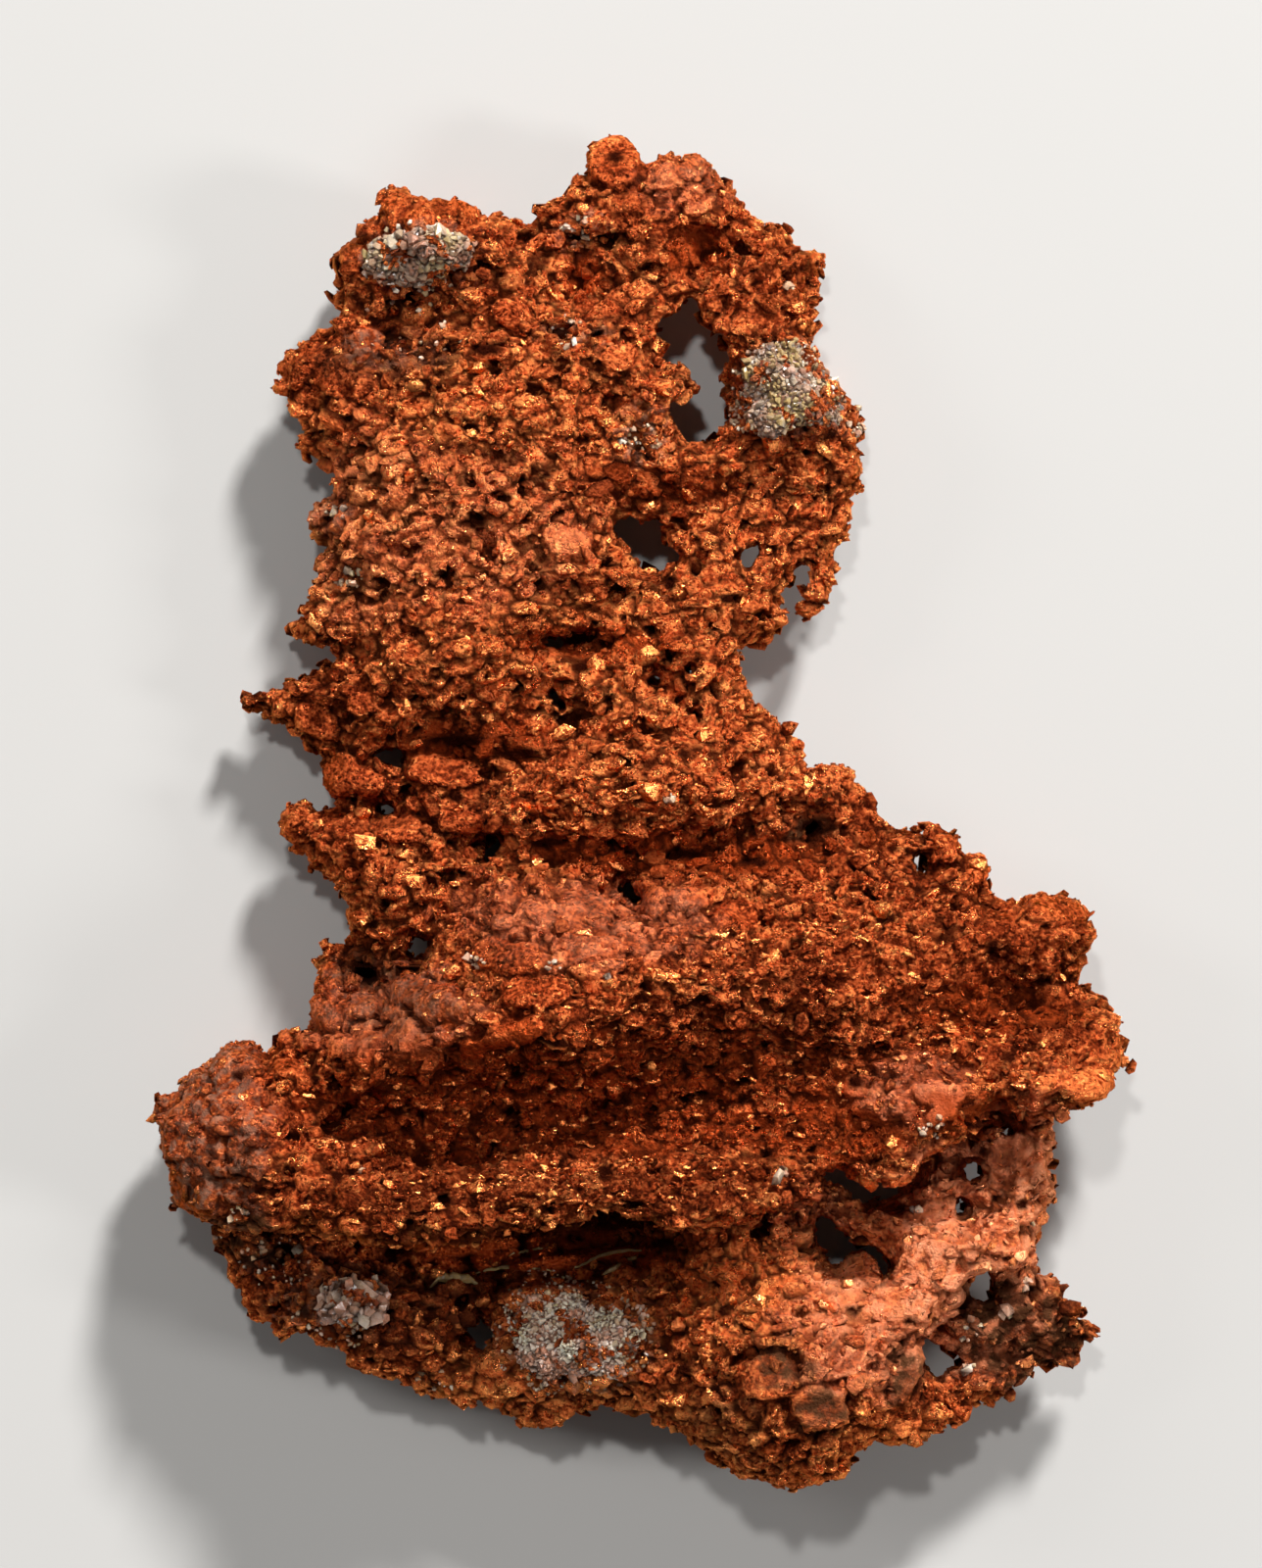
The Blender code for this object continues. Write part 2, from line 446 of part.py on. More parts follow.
def weld(mesh):
    """Join the loose caps of a filled curve to its walls."""
    work = bmesh.new()
    work.from_mesh(mesh)
    bmesh.ops.remove_doubles(work, verts=work.verts, dist=WELD)
    bmesh.ops.recalc_face_normals(work, faces=work.faces)
    work.to_mesh(mesh)
    work.free()


def edge_distance(points, rings):
    """How far each point is from the nearest edge of its leaf, seen from the front."""
    samples = []
    for ring in rings:
        corners = np.array([to_metres(spot) for spot in ring])
        following = np.roll(corners, -1, axis=0)
        for start, end in zip(corners, following):
            steps = max(2, int(np.linalg.norm(end - start) / EDGE_STEP))
            samples.extend(start + (end - start) * step / steps for step in range(steps))
    tree = kdtree.KDTree(len(samples))
    for index, (x, y) in enumerate(samples):
        tree.insert((x, y, 0.0), index)
    tree.balance()
    return np.array([tree.find((x, y, 0.0))[2] for x, y in points[:, :2]])


def shape_leaf(plate, rings, front, back):
    """Give a plate its front and back heights, and round its edges off."""
    points = points_of(plate.data)
    share = np.clip((points[:, 2] + LEAF_HALF) / (2 * LEAF_HALF), 0.0, 1.0)
    low = back(points)
    high = np.maximum(front(points), low + LEAF_LEAST)
    inward = np.clip(edge_distance(points, rings) / RIM_RADIUS, 0.0, 1.0)
    keep = RIM_KEEP + (1.0 - RIM_KEEP) * np.sqrt(1.0 - (1.0 - inward) ** 2)
    middle = 0.5 * (low + high)
    points[:, 2] = middle + (share - 0.5) * (high - low) * keep
    set_points(plate.data, points)


def build_leaf(name, collection):
    """One leaf of the nugget."""
    outline, holes, front_spots, back_spots = LEAVES[name]
    rings = [outline, *holes]
    plate = outline_plate(name, rings, collection)
    remesh(plate, LEAF_VOXEL)
    shape_leaf(plate, rings, HeightField(front_spots).at, HeightField(back_spots).at)
    return plate


def fuse(parts, name, voxel):
    """Join overlapping closed objects into one skin."""
    work = bmesh.new()
    for part in parts:
        work.from_mesh(part.data)
    mesh = bpy.data.meshes.new(name)
    work.to_mesh(mesh)
    work.free()
    body = add_object(name, mesh, parts[0].users_collection[0])
    for part in parts:
        bpy.data.objects.remove(part)
    remesh(body, voxel)
    return body


# ---------------------------------------------------------------- surface
def scaled(point, cell):
    """A point measured in cells."""
    return Vector((point[0] / cell.x, point[1] / cell.y, point[2] / cell.z))


def lump(point):
    """Rounded lumps with creases between them."""
    nearest = noise.voronoi(scaled(point, LUMP_CELL))[0]
    return min(1.0, nearest[1] - nearest[0]) - LUMP_LEVEL


def ledge(point):
    """Terraces that step down the figure, broken up from side to side."""
    drift = noise.noise(scaled(point, LEDGE_CELL)) * LEDGE_DRIFT
    phase = (point[1] / LEDGE_PITCH + drift) % 1.0
    return phase - 0.5


def roughen(body):
    """Raise lumps, swells and ledges over the whole skin."""
    points = points_of(body.data)
    normals = normals_of(body.data)
    for index, point in enumerate(points):
        rise = LUMP_HEIGHT * lump(point) + WAVE_HEIGHT * noise.noise(scaled(point, WAVE_CELL))
        rise += LEDGE_HEIGHT * ledge(point)
        flatness = abs(normals[index][2])
        share = WALL_SHARE + (1.0 - WALL_SHARE) * flatness
        if normals[index][2] < 0.0:
            share *= BACK_SHARE
        points[index] = point + normals[index] * rise * share
    set_points(body.data, points)


def press_pits(body):
    """Press the larger pits into the front."""
    points = points_of(body.data)
    facing = np.clip(normals_of(body.data)[:, 2], 0.0, 1.0)
    for x, y, radius, depth in PITS:
        centre = np.array(to_metres((x, y)))
        away = ((points[:, :2] - centre) ** 2).sum(axis=1) / (radius * MM) ** 2
        points[:, 2] -= depth * MM * np.exp(-away) * facing
    set_points(body.data, points)


def drop_loose_bits(mesh):
    """Keep only the largest connected shell."""
    work = bmesh.new()
    work.from_mesh(mesh)
    seen = set()
    shells = []
    for start in work.verts:
        if start in seen:
            continue
        shell = []
        queue = [start]
        seen.add(start)
        while queue:
            vert = queue.pop()
            shell.append(vert)
            for edge in vert.link_edges:
                other = edge.other_vert(vert)
                if other not in seen:
                    seen.add(other)
                    queue.append(other)
        shells.append(shell)
    shells.sort(key=len, reverse=True)
    for shell in shells[1:]:
        bmesh.ops.delete(work, geom=shell, context="VERTS")
    work.to_mesh(mesh)
    work.free()


def boolean(thing, cutter, operation):
    """Cut or join an object with another and keep the result as its mesh."""
    modifier = thing.modifiers.new(operation.title(), "BOOLEAN")
    modifier.operation = operation
    modifier.solver = "EXACT"
    modifier.object = cutter
    bake(thing)


def rest_block(collection):
    """A block whose top is the rest plane."""
    mesh = bpy.data.meshes.new("rest_block")
    work = bmesh.new()
    bmesh.ops.create_cube(work, size=1.0)
    side = 2.0 * NUGGET_LENGTH
    depth = REST_BLOCK_DEPTH
    bmesh.ops.scale(work, vec=(side, side, depth), verts=work.verts)
    bmesh.ops.translate(work, vec=(0.0, 0.0, REST_CUT - 0.5 * depth), verts=work.verts)
    work.to_mesh(mesh)
    work.free()
    block = add_object("rest_block", mesh, collection)
    block.hide_render = True
    block.display_type = "WIRE"
    return block


def centre_on_origin(things, body):
    """Put the middle of the body's footprint over the origin and its lowest faces at height 0."""
    points = points_of(body.data)
    low = points.min(axis=0)
    high = points.max(axis=0)
    shift = np.array([0.5 * (low[0] + high[0]), 0.5 * (low[1] + high[1]), low[2]])
    for thing in things:
        set_points(thing.data, points_of(thing.data) - shift)


# ---------------------------------------------------------------- crusts
def copper_height(tree, points):
    """Height of the copper's front under each point."""
    heights = np.full(len(points), OFF_COPPER)
    down = Vector((0.0, 0.0, -1.0))
    for index, (x, y) in enumerate(points[:, :2]):
        hit = tree.ray_cast(Vector((x, y, NUGGET_LENGTH)), down)[0]
        if hit is not None:
            heights[index] = hit.z
    return heights


def build_crust(name, ring, copper, cutter, collection):
    """A lumpy skin of crystals that lies on the copper with a small gap."""
    work = bmesh.new()
    work.from_mesh(copper.data)
    tree = BVHTree.FromBMesh(work)
    work.free()
    crust = outline_plate(name, [ring], collection)
    remesh(crust, CRUST_VOXEL)

    def front(points):
        knobs = np.array([lump(point * CRUST_FINENESS) for point in points])
        return copper_height(tree, points) + CRUST_RISE + CRUST_KNOB * knobs

    def back(points):
        return copper_height(tree, points) - CRUST_ROOT

    shape_leaf(crust, [ring], front, back)
    boolean(crust, cutter, "DIFFERENCE")
    drop_loose_bits(crust.data)
    thin_out(crust, CRUST_TRIANGLES)
    return crust


def swollen_copy(copper, collection):
    """The copper grown outward by the crusts' gap, to cut them with."""
    grown = add_object("crust_cutter", copper.data.copy(), collection)
    set_points(grown.data, points_of(grown.data) + normals_of(grown.data) * (CRUST_GAP + CRUST_SPARE))
    remesh(grown, CRUST_VOXEL)
    grown.hide_render = True
    grown.display_type = "WIRE"
    return grown


# ---------------------------------------------------------------- the nugget
def build_copper(parts, cutters):
    """The copper body."""
    leaves = [build_leaf(name, parts) for name in LEAVES]
    copper = fuse(leaves, "copper_nugget", FUSE_VOXEL)
    roughen(copper)
    press_pits(copper)
    remesh(copper, FUSE_VOXEL)
    drop_loose_bits(copper.data)
    thin_out(copper, COPPER_TRIANGLES)
    boolean(copper, rest_block(cutters), "DIFFERENCE")
    drop_loose_bits(copper.data)
    mesh_to_triangles(copper.data)
    return copper


def main():
    """Build the nugget and its crusts."""
    clear_scene()
    parts = new_collection("native_copper_nugget")
    cutters = new_collection("cutters")
    copper = build_copper(parts, cutters)
    grown = swollen_copy(copper, cutters)
    crusts = [build_crust(name, ring, copper, grown, parts) for name, ring in CRUSTS.items()]
    centre_on_origin([copper, *crusts], copper)
    copper.data.materials.append(new_material("copper", (0.62, 0.27, 0.15), 1.0, 0.42))
    mineral = new_material("mineral", (0.66, 0.62, 0.54), 0.0, 0.55)
    for crust in crusts:
        crust.data.materials.append(mineral)


main()
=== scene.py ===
"""Looks of the native copper nugget: a nubbly copper skin, a coat of grains and pale crystal crusts.

The nugget lies on its back with its broad front up.  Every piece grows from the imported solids: the
skin is the copper solid's own surface made fine, the grains sit on that skin, and the crystals sit
on the crusts.  Places on the front are given on the same square grid that the solids are drawn on.
"""

import logging
import math
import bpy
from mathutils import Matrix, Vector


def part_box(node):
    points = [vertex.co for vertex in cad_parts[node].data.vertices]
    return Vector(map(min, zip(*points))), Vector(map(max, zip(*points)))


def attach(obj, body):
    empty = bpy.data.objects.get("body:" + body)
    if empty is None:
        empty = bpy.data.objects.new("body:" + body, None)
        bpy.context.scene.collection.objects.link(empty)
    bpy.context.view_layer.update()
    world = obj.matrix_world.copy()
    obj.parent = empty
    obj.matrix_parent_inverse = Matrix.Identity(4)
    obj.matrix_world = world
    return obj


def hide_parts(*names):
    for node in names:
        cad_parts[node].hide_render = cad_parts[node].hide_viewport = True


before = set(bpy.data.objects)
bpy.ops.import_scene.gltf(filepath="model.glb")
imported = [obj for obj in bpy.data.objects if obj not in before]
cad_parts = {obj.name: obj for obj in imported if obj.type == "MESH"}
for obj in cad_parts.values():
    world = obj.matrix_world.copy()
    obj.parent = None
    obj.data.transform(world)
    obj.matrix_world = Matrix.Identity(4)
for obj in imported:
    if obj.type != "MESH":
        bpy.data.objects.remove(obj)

from copy import copy
from dataclasses import dataclass
from enum import Enum

import bmesh
import bpy
import numpy as np
from mathutils import Vector, noise
from mathutils.bvhtree import BVHTree
from mathutils.kdtree import KDTree

LOG = logging.getLogger("copper_nugget")

Cell = tuple[float, float, float]
Chance = np.random.Generator
Colour = tuple[float, float, float]
Outline = tuple[tuple[float, float], ...]

MM = 0.001
BODY = "root"
COPPER_SLOT = "copper"
MINERAL_SLOT = "mineral"
COPPER_NODE = "copper_nugget"

GRID_LENGTH = 1373
GRID_CENTRE = (655.0, 826.0)
SEED = 41

# Where rays that look down for the front start, and where the cutters of the openings end.
ABOVE = 40.0 * MM
CUT_TOP = 30.0 * MM
CUT_BOTTOM = -2.0 * MM
# The way that the copper's bright facets face.
BRIGHT_FACING = (0.17, 0.44, 0.88)
# How steeply a nub climbs from the crease beside it.
NUB_SLOPE = 1.6


def grid_square() -> float:
    """Side of one square of the drawing grid in metres, from the copper solid's own length."""
    low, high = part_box(COPPER_NODE)
    return (high.y - low.y) / GRID_LENGTH


SQUARE = grid_square()


def to_metres(column: float, row: float) -> tuple[float, float]:
    """A point of the drawing grid in the part's own frame."""
    return (column - GRID_CENTRE[0]) * SQUARE, (GRID_CENTRE[1] - row) * SQUARE


# ---------------------------------------------------------------- arrays and noise
def read(rows: bpy.types.bpy_prop_collection, key: str, width: int, kind: type = float) -> np.ndarray:
    """Read one value of all rows of a mesh.

    Args:
        rows: The mesh's vertices, edges, triangles or marks.
        key: Which of their values.
        width: How many numbers that value has.
        kind: What sort of numbers they are.

    Returns:
        An array of one line a row.
    """
    flat = np.empty(len(rows) * width, dtype=kind)
    rows.foreach_get(key, flat)
    return flat.reshape(-1, width)


def read_corners(mesh: bpy.types.Mesh) -> np.ndarray:
    """The three vertices of each of a mesh's triangles."""
    mesh.calc_loop_triangles()
    return read(mesh.loop_triangles, "vertices", 3, np.int64)


def write_points(mesh: bpy.types.Mesh, points: np.ndarray) -> None:
    """Move a mesh's vertices to new places."""
    mesh.vertices.foreach_set("co", points.astype(np.float32).ravel())
    mesh.update()


@dataclass
class Places:
    """Points of a surface, and the way that it faces at each."""

    points: np.ndarray
    normals: np.ndarray

    def __len__(self) -> int:
        """How many places there are."""
        return len(self.points)

    @classmethod
    def of(cls, mesh: bpy.types.Mesh) -> "Places":
        """A mesh's vertices."""
        return cls(read(mesh.vertices, "co", 3), read(mesh.vertices, "normal", 3))

    def kept(self, mask: np.ndarray) -> "Places":
        """Only the places that a mask keeps."""
        return Places(self.points[mask], self.normals[mask])

    def raised(self, rise: np.ndarray) -> np.ndarray:
        """The points, each moved outward by its own rise in metres."""
        return self.points + self.normals * rise[:, None]


def evened(values: np.ndarray, edges: np.ndarray, rounds: int) -> np.ndarray:
    """Average values over a mesh's neighbours, again and again.

    Args:
        values: One row a vertex.
        edges: The mesh's edges.
        rounds: How many times to average.

    Returns:
        The smoothed values.
    """
    count = len(values)
    ends = np.concatenate([edges[:, 0], edges[:, 1]])
    others = np.concatenate([edges[:, 1], edges[:, 0]])
    degree = np.maximum(np.bincount(ends, minlength=count), 1)
    rows = values.reshape(count, -1)
    for _ in range(rounds):
        columns = [
            np.bincount(ends, weights=rows[others, column], minlength=count) / degree
            for column in range(rows.shape[1])
        ]
        rows = 0.5 * rows + 0.5 * np.stack(columns, axis=1)
    return rows.reshape(values.shape)


def ease(values: np.ndarray, low: float, high: float) -> np.ndarray:
    """A smooth step, from 0 where it starts to 1 where it ends."""
    share = np.clip((values - low) / (high - low), 0.0, 1.0)
    return share * share * (3.0 - 2.0 * share)


def swell(points: np.ndarray, cell: Cell, shift: float) -> np.ndarray:
    """Smooth noise from about -1 to 1, of swells in millimetres and told from others by its shift."""
    scaled = points / (np.array(cell) * MM) + shift
    return np.fromiter((noise.noise(Vector(place)) for place in scaled), float, len(points))


def nub_height(gaps: list[float]) -> float:
    """Height of a nub, at most 1, from how far the two nearest seeds are."""
    return min(1.0, NUB_SLOPE * (gaps[1] - gaps[0]))


def nubs(points: np.ndarray, cell: Cell, shift: float) -> np.ndarray:
    """Rounded nubs of a size in millimetres, from 0 in a crease to about 1 on a crown."""
    scaled = points / (np.array(cell) * MM) + shift
    return np.fromiter((nub_height(noise.voronoi(Vector(place))[0]) for place in scaled), float, len(points))


def seed_value(seed: Vector, turns: Cell) -> float:
    """A value from -1 to 1 that a nub's seed always gives."""
    return math.sin(turns[0] * seed.x + turns[1] * seed.y + turns[2] * seed.z)


# ---------------------------------------------------------------- places on the front
@dataclass(frozen=True)
class Patch:
    """An oval area of the front, on the drawing grid.

    Attributes:
        column: Middle, counted from the left.
        row: Middle, counted from the top.
        wide: Half its width.
        tall: Half its height.
        strength: How strongly it shows, from 0 to 1.
    """

    column: float
    row: float
    wide: float
    tall: float
    strength: float = 1.0

    def weight(self, front: "FrontMap") -> np.ndarray:
        """How much each of the map's places lies in the patch, from 0 to the patch's strength."""
        away = np.hypot((front.columns - self.column) / self.wide, (front.rows - self.row) / self.tall)
        return self.strength * ease(-away + 0.45 * front.wobble, -1.35, -0.65)


@dataclass(frozen=True)
class Lobe:
    """A smooth rounded chunk that stands out of the front, on the drawing grid.

    Attributes:
        column: Middle, counted from the left.
        row: Middle, counted from the top.
        wide: Half its length.
        tall: Half its breadth.
        turn: How far its length is turned from level, in degrees.
        rise: How far it stands out, in millimetres.
        shade: How much darker it is than the copper round it, from 0 to 1.
    """

    column: float
    row: float
    wide: float
    tall: float
    turn: float = 0.0
    rise: float = 0.5
    shade: float = 0.0

    def reach(self, front: "FrontMap") -> np.ndarray:
        """How far places lie from its middle.

        Args:
            front: The map whose places are asked for.

        Returns:
            Values from 0 in its middle to 1 at its edge, and more outside.
        """
        across, down = front.columns - self.column, front.rows - self.row
        cosine, sine = math.cos(math.radians(self.turn)), math.sin(math.radians(self.turn))
        along = np.abs(across * cosine + down * sine) / self.wide
        aside = np.abs(down * cosine - across * sine) / self.tall
        return (along**2.6 + aside**2.6) ** (1.0 / 2.6) + 0.20 * front.wobble


class Area(Enum):
    """What the front's patches can be."""

    PLATE = "smooth matte plates"
    RUST = "deep red-orange hollows"
    TARNISH = "brown and olive tarnish"
    PALE = "pinkish bloom"
    ASHEN = "grey-brown film"
    GILT = "lips and edges that glint"
    FINE = "finer grains"
    FLAKY = "long bright flakes"
    # Brown oxides, and partly painted shade: also darkens slopes and lips as if they lay in shade.
    OXIDE = "brown oxide"
    CLEAN = "clean bright copper"
    # Painted shade: patches darkened as if they lay in shade.
    DEEP = "deep dark hollows"


# What lies where on the front: middle column and row, half width, half height and, if not 1, strength.
AREAS: dict[Area, tuple[tuple[float, ...], ...]] = {
    Area.PLATE: (
        (585, 955, 125, 48), (400, 1035, 85, 36), (225, 1155, 62, 85), (965, 1290, 100, 120, 0.8),
        (885, 1350, 80, 72, 0.7), (900, 990, 110, 26, 0.6), (930, 1110, 90, 32, 0.8),
        (1055, 945, 50, 24, 0.8), (690, 205, 66, 40, 0.8), (335, 375, 45, 30, 0.8),
        (330, 850, 50, 22, 0.8), (1110, 1080, 40, 30, 0.7), (420, 560, 60, 20, 0.5), (545, 1272, 150, 26),
        (430, 225, 70, 26, 0.8), (360, 250, 26, 20, 0.7), (780, 320, 26, 20, 0.6),
        (1000, 1200, 26, 30, 0.6), (1038, 1215, 32, 76, 0.8),
    ),
    Area.RUST: (
        (610, 658, 90, 18), (545, 1276, 150, 24, 0.9), (480, 754, 90, 20, 0.8), (700, 872, 150, 22),
        (600, 1110, 260, 70, 0.9), (1010, 1030, 80, 26), (820, 1150, 90, 30), (720, 262, 40, 22),
        (600, 284, 26, 18), (660, 497, 80, 18, 0.6), (1000, 1130, 80, 26, 0.8), (480, 1345, 30, 30, 0.9),
        (700, 1290, 50, 40, 0.6),
    ),
    Area.TARNISH: (
        (250, 1262, 50, 30), (795, 1380, 34, 26), (835, 1432, 36, 26), (925, 1393, 22, 34),
        (1045, 1355, 75, 55), (390, 1330, 110, 40, 0.7), (400, 372, 70, 26, 0.6),
        (740, 1440, 40, 50, 0.7), (345, 240, 26, 26, 0.5), (420, 1030, 60, 30, 0.4),
        (380, 990, 30, 22, 0.9), (828, 846, 24, 14, 1.0), (240, 1200, 60, 40, 0.4),
    ),
    Area.PALE: (
        (600, 940, 120, 45, 0.38), (375, 550, 60, 100, 0.35), (400, 1040, 90, 40, 0.30),
        (985, 1290, 90, 110, 1.0), (1045, 1185, 50, 75, 1.0), (885, 1345, 80, 72, 0.9),
        (230, 1140, 62, 66, 0.15), (870, 1250, 70, 50, 0.5), (480, 545, 130, 80, 0.3),
        (930, 1110, 60, 30, 0.6), (700, 190, 50, 30, 0.3),
    ),
    Area.ASHEN: (
        (655, 450, 30, 34, 0.7), (590, 345, 40, 14, 0.6), (400, 360, 60, 20, 0.5),
        (345, 525, 24, 18, 0.6), (590, 240, 26, 20, 0.7), (340, 1335, 60, 26, 0.6),
        (585, 1360, 80, 50, 0.7), (300, 1290, 60, 20, 0.3), (430, 265, 60, 34, 0.5),
        (815, 400, 60, 50, 0.5), (215, 1150, 60, 90, 0.7), (400, 1020, 90, 40, 0.3),
    ),
    Area.GILT: (
        (540, 1208, 220, 22, 0.35), (850, 545, 24, 80, 1.0), (620, 815, 130, 22, 0.8),
        (700, 740, 90, 50, 0.6), (1060, 1105, 80, 18, 0.9), (1062, 1180, 16, 60, 0.9),
        (780, 1470, 70, 30, 0.6), (860, 960, 80, 20, 0.6), (520, 420, 130, 40, 0.4),
    ),
    # Brown oxides, partly painted shade on the dark slope and the lip.
    Area.OXIDE: (
        (560, 1115, 290, 74, 0.88), (700, 1080, 220, 66, 0.8), (820, 1000, 120, 60, 0.4),
        (220, 1150, 70, 100, 0.8), (400, 1040, 90, 40, 0.8), (600, 940, 130, 50, 0.60),
        (280, 1250, 80, 70, 0.7), (420, 1330, 90, 50, 0.7), (350, 370, 80, 40, 0.6),
        (320, 710, 90, 26, 0.7), (370, 820, 80, 60, 0.5), (470, 810, 70, 50, 0.45),
        (400, 600, 60, 60, 0.3), (800, 1420, 80, 70, 0.6), (1050, 1360, 90, 60, 0.9),
        (925, 1393, 26, 40, 0.9), (700, 200, 60, 50, 0.4), (380, 990, 40, 30, 0.8),
        (340, 540, 30, 60, 0.5), (660, 497, 90, 18, 0.7), (700, 870, 160, 18, 0.7),
        (480, 756, 90, 16, 0.7), (1000, 1130, 90, 20, 0.5), (540, 1212, 340, 40, 1.0),
        (910, 855, 90, 50, 0.9), (1010, 1035, 120, 44, 1.0), (945, 1150, 90, 40, 0.8),
        (800, 280, 50, 70, 0.5), (815, 395, 80, 60, 0.5), (440, 250, 90, 50, 0.3),
        (675, 215, 90, 50, 0.2), (1030, 945, 90, 50, 0.5), (960, 1000, 120, 40, 0.4),
    ),
    Area.CLEAN: (
        (800, 1400, 120, 80, 0.8), (965, 1270, 110, 110, 1.0), (1035, 1205, 60, 100, 1.0),
        (885, 1350, 90, 80, 1.0), (770, 1290, 90, 70, 1.0), (560, 1400, 120, 50, 0.7),
        (1095, 1090, 60, 36, 0.6), (350, 530, 60, 100, 0.3), (700, 1420, 60, 50, 0.5),
        (520, 560, 190, 210, 0.38), (375, 550, 60, 100, 0.95), (580, 1370, 110, 60, 1.0),
        (530, 1415, 120, 30, 1.0),
    ),
    # Painted shade: patches darkened as if they lay in shade.
    Area.DEEP: (
        (540, 1215, 320, 34, 0.58), (1015, 1035, 80, 26, 0.35), (480, 1250, 110, 12), (412, 1272, 26, 18),
        (630, 1246, 70, 10), (560, 1300, 130, 6, 0.6), (470, 756, 70, 8, 0.7), (470, 676, 80, 6, 0.5),
        (410, 372, 60, 8, 0.7), (505, 345, 26, 4, 0.9), (500, 290, 34, 10, 0.6), (395, 312, 20, 10, 0.9),
        (930, 1148, 60, 10, 0.7),
    ),
    Area.FLAKY: (
        (560, 1110, 290, 90, 0.8), (540, 1205, 300, 34, 0.8), (840, 1060, 180, 70, 0.9),
        (620, 815, 130, 30, 0.8), (1010, 1120, 110, 40, 0.5), (760, 980, 120, 30, 0.8),
        (780, 1470, 90, 36, 0.4), (560, 1030, 120, 16, 0.8), (860, 960, 90, 30, 0.4),
    ),
    Area.FINE: (
        (640, 1120, 330, 90, 0.9), (880, 1040, 160, 60, 0.8), (960, 1260, 120, 130, 0.7),
        (430, 1225, 200, 40, 0.5),
    ),
}
PATCHES = {area: tuple(Patch(*row) for row in rows) for area, rows in AREAS.items()}

# Outlines of the holes that go right through, on the drawing grid.
HOLES: tuple[Outline, ...] = (
    ((668, 334), (680, 324), (693, 318), (699, 303), (708, 299), (716, 312), (718, 326), (727, 335),
     (742, 343), (744, 362), (742, 392), (739, 408), (746, 420), (749, 434), (739, 446), (724, 454),
     (708, 452), (693, 446), (685, 430), (683, 415), (698, 411), (712, 409), (722, 399), (722, 388),
     (712, 382), (702, 379), (699, 372), (684, 375), (672, 364), (673, 350)),
    ((630, 531), (642, 526), (658, 534), (684, 529), (669, 550), (692, 559), (694, 576), (675, 584),
     (650, 576), (640, 561), (629, 558)),
    ((757, 564), (766, 560), (776, 553), (779, 566), (772, 572), (767, 585), (754, 583), (759, 575)),
    ((782, 519), (788, 518), (788, 534), (783, 533)),
    ((548, 652), (560, 650), (582, 652), (577, 659), (580, 667), (566, 662), (556, 660)),
    ((561, 702), (570, 702), (572, 712), (581, 720), (580, 729), (571, 727), (563, 717)),
    ((659, 696), (666, 692), (680, 690), (677, 697), (668, 703), (660, 702)),
    ((700, 682), (709, 678), (714, 684), (709, 690), (701, 689)),
    ((686, 714), (697, 713), (704, 723), (700, 725), (688, 719)),
    ((706, 725), (714, 724), (717, 733), (713, 741), (707, 738)),
    ((376, 769), (396, 764), (413, 763), (415, 777), (408, 785), (398, 780), (380, 776)),
    ((381, 823), (400, 822), (407, 826), (403, 831), (385, 831)),
    ((497, 856), (503, 851), (512, 853), (514, 866), (507, 873), (500, 885), (494, 879), (499, 868)),
    ((631, 899), (640, 896), (646, 904), (655, 910), (659, 923), (650, 925), (641, 915), (634, 909)),
    ((418, 962), (428, 958), (440, 964), (438, 978), (424, 981), (419, 973)),
    ((934, 875), (942, 870), (948, 874), (946, 896), (939, 898), (935, 888)),
    ((476, 1356), (486, 1346), (493, 1343), (499, 1353), (513, 1361), (502, 1371), (494, 1386),
     (485, 1376)),
    ((842, 1190), (850, 1188), (860, 1195), (872, 1199), (880, 1211), (895, 1209), (906, 1214),
     (918, 1212), (921, 1222), (905, 1225), (890, 1221), (873, 1224), (862, 1214), (850, 1206)),
    ((830, 1238), (846, 1239), (853, 1253), (868, 1262), (894, 1269), (912, 1284), (913, 1306),
     (904, 1305), (897, 1284), (882, 1274), (865, 1282), (850, 1299), (844, 1284), (833, 1266)),
    ((1019, 1149), (1028, 1145), (1037, 1152), (1031, 1160), (1020, 1158)),
    ((981, 1189), (991, 1183), (1003, 1186), (1005, 1203), (996, 1206), (983, 1201)),
    ((972, 1227), (980, 1221), (988, 1224), (985, 1240), (976, 1243)),
    ((990, 1300), (1000, 1292), (1012, 1294), (1011, 1315), (1019, 1325), (1003, 1328), (990, 1321)),
    ((938, 1367), (948, 1362), (963, 1372), (983, 1382), (984, 1392), (968, 1397), (960, 1408),
     (951, 1404), (944, 1390)),
)

